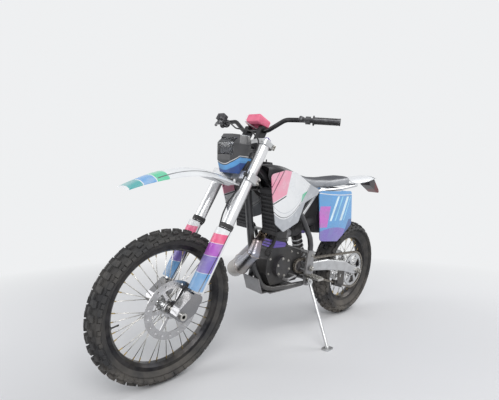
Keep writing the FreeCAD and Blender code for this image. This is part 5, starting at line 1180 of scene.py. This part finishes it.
def make_seat():
    verts, faces = [], []
    for i in range(SEAT_STEPS + 1):
        x = SEAT_FRONT + (SEAT_REAR - SEAT_FRONT) * i / SEAT_STEPS
        verts += [seat_at(x, j / SEAT_SIDES) for j in range(SEAT_SIDES + 1)]
    width = SEAT_SIDES + 1
    for a in range(0, SEAT_STEPS * width, width):
        faces += [(a + j, a + j + 1, a + j + 1 + width, a + j + width) for j in range(SEAT_SIDES)]
        faces.append((a, a + width, a + width + SEAT_SIDES, a + SEAT_SIDES))
    faces += [tuple(range(width)), tuple(SEAT_STEPS * width + j for j in range(width))]
    block = outward(mesh_from("seat", verts, faces))
    cover = puffed(block, voxel=0.0065, pressure=0.6, swell=0.002, steps=10)
    for vert in cover.vertices:
        half, low, high = seat_row(vert.co.x)
        top = max(0.0, min(1.0, (vert.co.z - low) / (high - low) * 2.2 - 1.1))
        rib = 0.5 + 0.5 * math.cos(math.tau * vert.co.x / RIB_PITCH)
        middle = max(0.0, 1 - (abs(vert.co.y) / (half * WELT_SHARE)) ** 6)
        vert.co.z -= RIB_DEPTH * (1 - rib) ** 2 * top * middle * (RIBS_REAR < vert.co.x < RIBS_FRONT)
    seat = new_piece("ribbed_seat", cover, seat_top)
    seat.data.materials.append(seat_side_highlight)
    # Faces on the sides and along the lower edge take the painted-highlight grey.
    for polygon in seat.data.polygons:
        half, low, high = seat_row(polygon.center.x)
        polygon.material_index = int(abs(polygon.center.y) > half * WELT_SHARE or polygon.center.z < low + 0.012)
    seat.data.transform(machine)
    fit(seat, "chassis", "seat_cover", "seat")
    return seat


def make_welt(seat):
    """Sewn welt along both upper edges, laid on the finished cover."""
    shell = bmesh.new()
    shell.from_mesh(seat.data)
    shell.transform(machine.inverted())
    tree = BVHTree.FromBMesh(shell)
    cords = []
    for side in (1, -1):
        line = []
        for i in range(WELT_POINTS):
            x = SEAT_FRONT - 0.008 + (SEAT_REAR - SEAT_FRONT + 0.016) * i / (WELT_POINTS - 1)
            half, low, high = seat_row(x)
            hit = tree.ray_cast(Vector((x, side * half * WELT_SHARE, high + 0.05)), Vector((0, 0, -1)))
            if hit[0]:
                line.append(hit[0] + Vector((0, 0, 0.0004)))
        cords.append(round_cord(line, WELT_R, sides=6))
    shell.free()
    # The welt takes the same painted-highlight grey as the seat's sides.
    fit(new_piece("seat_welts", joined(cords), seat_side_highlight, machine), "chassis", "seat_cover")


def round_cord(points, radius, sides):
    """Closed thin round strand along a line of points."""
    verts = []
    for i, point in enumerate(points):
        way = (points[min(i + 1, len(points) - 1)] - points[max(i - 1, 0)]).normalized()
        side = way.cross(Vector((0, 0, 1))).normalized()
        up = side.cross(way)
        for j in range(sides):
            turn = math.tau * j / sides
            verts.append(point + (side * math.cos(turn) + up * math.sin(turn)) * radius)
    faces = grid_faces(len(points), sides, round_rows=False)
    faces += [tuple(range(sides)), tuple((len(points) - 1) * sides + j for j in range(sides))]
    return outward(mesh_from("cord", verts, faces))


make_welt(make_seat())

# Side panels, rear fender and tail lamp
# Number panels beside the seat, blue with pale upright flashes, a magenta patch at the front and violet at
# the foot; a plain pale rear fender; a dark red tail lamp under its end.
FLASH, FLASH_SPAN = (1, 0, 0.40), (0.71, 0.862)
flashes = [((0.722, 0.744), (0.72, 0.90, 0.96)), ((0.676, 0.690), (0.30, 0.68, 0.88)),
           ((0.604, 0.632), (0.72, 0.90, 0.96)), ((0.574, 0.584), (0.30, 0.68, 0.88))]
side_ink = [((UP, AHEAD, 0.40, 0.9), (0.50, 0.668), (0.22, 0.16, 0.52)),
            ((1, 0, 0.12), (0.560, 0.660), (0.58, 0.16, 0.58), UP, (0.672, 0.80))]
side_ink += [(FLASH, edges, ink, UP, FLASH_SPAN) for edges, ink in flashes]
side_ink += [((1, 0, 0.55), (0.500, 0.620), DEEP_BLUE, UP, (0.60, 0.715)),
             ((UP, AHEAD, 0.40, -0.2), (0.868, 0.873), WHITE)]
panel_plastic = finish("side panel plastic", (0.12, 0.36, 0.70), (0.16, 0.30, 0.48), 0.28, blotch=0.3, dust=0.3,
                       bump=0.05, grain=700, coat=0.35, pattern=banded(machine, side_ink))
wear(panel_plastic, "side_panels")
plain_white = finish("rear fender plastic", (0.66, 0.67, 0.69), PALE, 0.34, blotch=0.35, dust=0.35, bump=0.05,
                     grain=700, coat=0.2, pattern=banded(machine, [(AHEAD, (-0.19, -0.165), INK)]))
wear(plain_white, "rear_fender")
lamp_red = finish("tail lamp red", (0.11, 0.006, 0.008), (0.06, 0.005, 0.006), 0.18, blotch=0.4, blotch_scale=60,
                  dust=0.15, grain=300, bump=0.1,
                  pattern=banded(machine, [(AHEAD, (-0.25, -0.13), (0.022, 0.022, 0.025))]))
wear(lamp_red, "tail_lamp")

# Rear suspension and stand
# Extruded swingarm, a coil spring on its damper, a forged rocker, steel footpegs, forged foot levers, a
# bent alloy plate under the engine and a forged side stand.
SPRING_TOP, SPRING_LOW = Vector((0.640, -0.022, 0.762)), Vector((0.462, -0.022, 0.340))
SPRING_R, SPRING_WIRE, SPRING_TURNS, TURN_STEPS = 0.0305, 0.0046, 7.5, 26
spring_paint = finish("spring paint", (0.60, 0.61, 0.62), (0.40, 0.40, 0.41), 0.3, blotch=0.4, dust=0.25, coat=0.4)
wear(satin_alloy, "swingarm", "side_stand")
wear(black_alloy, "rear_shock")
wear(cast_alloy, "shock_linkage", "foot_levers", "skid_plate")
wear(plated_steel, "footpegs")


def spring_line():
    """Places along the wire, wound evenly between the two spring seats."""
    span = SPRING_TOP - SPRING_LOW
    way = span.normalized()
    low, high = SPRING_LOW + way * 0.056, SPRING_LOW + way * (span.length - 0.180)
    run = high - low
    turn = run.to_track_quat("Z", "Y").to_matrix()
    steps = SPRING_TURNS * TURN_STEPS
    line = []
    for i in range(int(steps) + 1):
        angle = math.tau * i / TURN_STEPS
        local = Vector((SPRING_R * math.cos(angle), SPRING_R * math.sin(angle), run.length * i / steps))
        line.append(low + turn @ local)
    return line


spring = round_cord(spring_line(), SPRING_WIRE, sides=10)
fit(new_piece("shock_spring", spring, spring_paint, machine), "chassis", "spoke_steel")

# Bolts
# Flanged hexagon bolts hold covers, clamps and the front fender; the axle and the pivot have larger nuts. The
# rows of each body: the axes, the way the heads face, head size, and the places.


def ring_places(middle, radius, count, start=0.0):
    x, y, z = middle
    angles = [start + math.tau * i / count for i in range(count)]
    return [(x + radius * math.cos(angle), y, z + radius * math.sin(angle)) for angle in angles]


def both_sides(places):
    return list(places) + [(x, -y, z) for x, y, z in places]


def clamp_places(side):
    return [(FORK_OFFSET - 0.030, side * (FORK_HALF + 0.0355), s) for s in (0.664, 0.686, 0.857, 0.869)]


LEFT_OUT, RIGHT_OUT = ASIDE, (0, -1, 0)
BOLTS = {
    "chassis": [
        (machine, LEFT_OUT, 1.0, ring_places((0.800, 0.088, 0.455), 0.050, 6, start=0.3)),
        (machine, RIGHT_OUT, 1.0, ring_places((0.704, -0.105, 0.452), 0.074, 8)),
        (machine, RIGHT_OUT, 0.9, ring_places((0.842, -0.092, 0.470), 0.032, 5)),
        (machine, LEFT_OUT, 0.9, [(0.622, 0.056, 0.400), (0.640, 0.056, 0.512), (0.700, 0.056, 0.528),
                                  (0.885, 0.056, 0.420), (0.880, 0.056, 0.500), (0.700, 0.056, 0.366)]),
        (machine, LEFT_OUT, 1.2, [(0.560, 0.105, 0.500), (0.592, 0.105, 0.362)]),
        (machine, RIGHT_OUT, 1.2, [(0.560, -0.105, 0.500), (0.592, -0.105, 0.340)]),
        (machine, LEFT_OUT, 2.3, [(0.570, 0.113, 0.425), (0.0, 0.1245, 0.335)]),
        (machine, RIGHT_OUT, 2.3, [(0.570, -0.113, 0.425), (0.0, -0.1245, 0.335)]),
        (machine, (0, 0, -1), 1.1, [(0.66, 0.05, 0.3147), (0.66, -0.05, 0.3147), (0.90, 0.04, 0.3147),
                                    (0.90, -0.04, 0.3147)])],
    "steering": [
        (fork, UP, 1.0, both_sides([(0.005, 0.048, 0.968), (0.047, 0.048, 0.968)])),
        (fork, LEFT_OUT, 1.1, clamp_places(1)),
        (fork, RIGHT_OUT, 1.1, clamp_places(-1)),
        (machine, UP, 0.9, both_sides([(1.19, 0.030, 0.920), (1.16, 0.030, 0.909)]))],
    "front_wheel": [(machine, LEFT_OUT, 0.8, ring_places((WHEELBASE, 0.0515, 0.345), 0.036, 6))],
    "rear_wheel": [(machine, LEFT_OUT, 0.9, ring_places((0, 0.075, 0.335), 0.040, 6)),
                   (machine, RIGHT_OUT, 0.8, ring_places((0, -0.0586, 0.335), 0.045, 6))],
}
# turned profile and sides of the head's flange, and of its hexagon with a dished top
BOLT_HEAD = [([(0.0, 0.0), (0.0, 0.0078), (0.0010, 0.0080), (0.0022, 0.0060), (0.0022, 0.0)], 18),
             ([(0.0016, 0.0), (0.0016, 0.0056), (0.0052, 0.0056), (0.0060, 0.0048), (0.0060, 0.0030),
               (0.0054, 0.0024), (0.0054, 0.0)], 6)]
bolt_steel = finish("zinc bolt steel", (0.34, 0.335, 0.32), (0.24, 0.22, 0.19), 0.36, metallic=1.0, blotch=0.6,
                    blotch_scale=90, dust=0.2, grain=900, bump=0.1)


def on_points(tree, inside):
    """The given points, each with its Z along its aim and as large as it says."""
    aim, size = (add_node(tree, "GeometryNodeInputNamedAttribute", {"Name": name}, data_type=kind).outputs[0]
                 for name, kind in (("aim", "FLOAT_VECTOR"), ("size", "FLOAT")))
    facing = add_node(tree, "FunctionNodeAlignRotationToVector", {"Vector": aim}, axis="Z").outputs[0]
    return {"Points": inside["Geometry"], "Rotation": facing, "Scale": size}


ON_POINTS = copy_tree("on points", {}, on_points)


def make_bolts(body, rows):
    places, aims, sizes = [], [], []
    for space, facing, size, spots in rows:
        places += [space @ Vector(spot) for spot in spots]
        aims += (space.to_3x3() @ Vector(facing)).normalized()[:] * len(spots)
        sizes += [size] * len(spots)
    base = mesh_from("bolt places", places, [])
    base.attributes.new("aim", "FLOAT_VECTOR", "POINT").data.foreach_set("vector", aims)
    base.attributes.new("size", "FLOAT", "POINT").data.foreach_set("value", sizes)
    head = [turned("head", profile, (0, 0, 0), UP, sides) for profile, sides in BOLT_HEAD]
    heads = copies(ON_POINTS, joined(head), {"Finish": bolt_steel}, base)
    fit(new_piece(body + "_bolts", heads, bolt_steel, smooth=False), body, "spoke_steel")


for bolt_body, bolt_rows in BOLTS.items():
    make_bolts(bolt_body, bolt_rows)
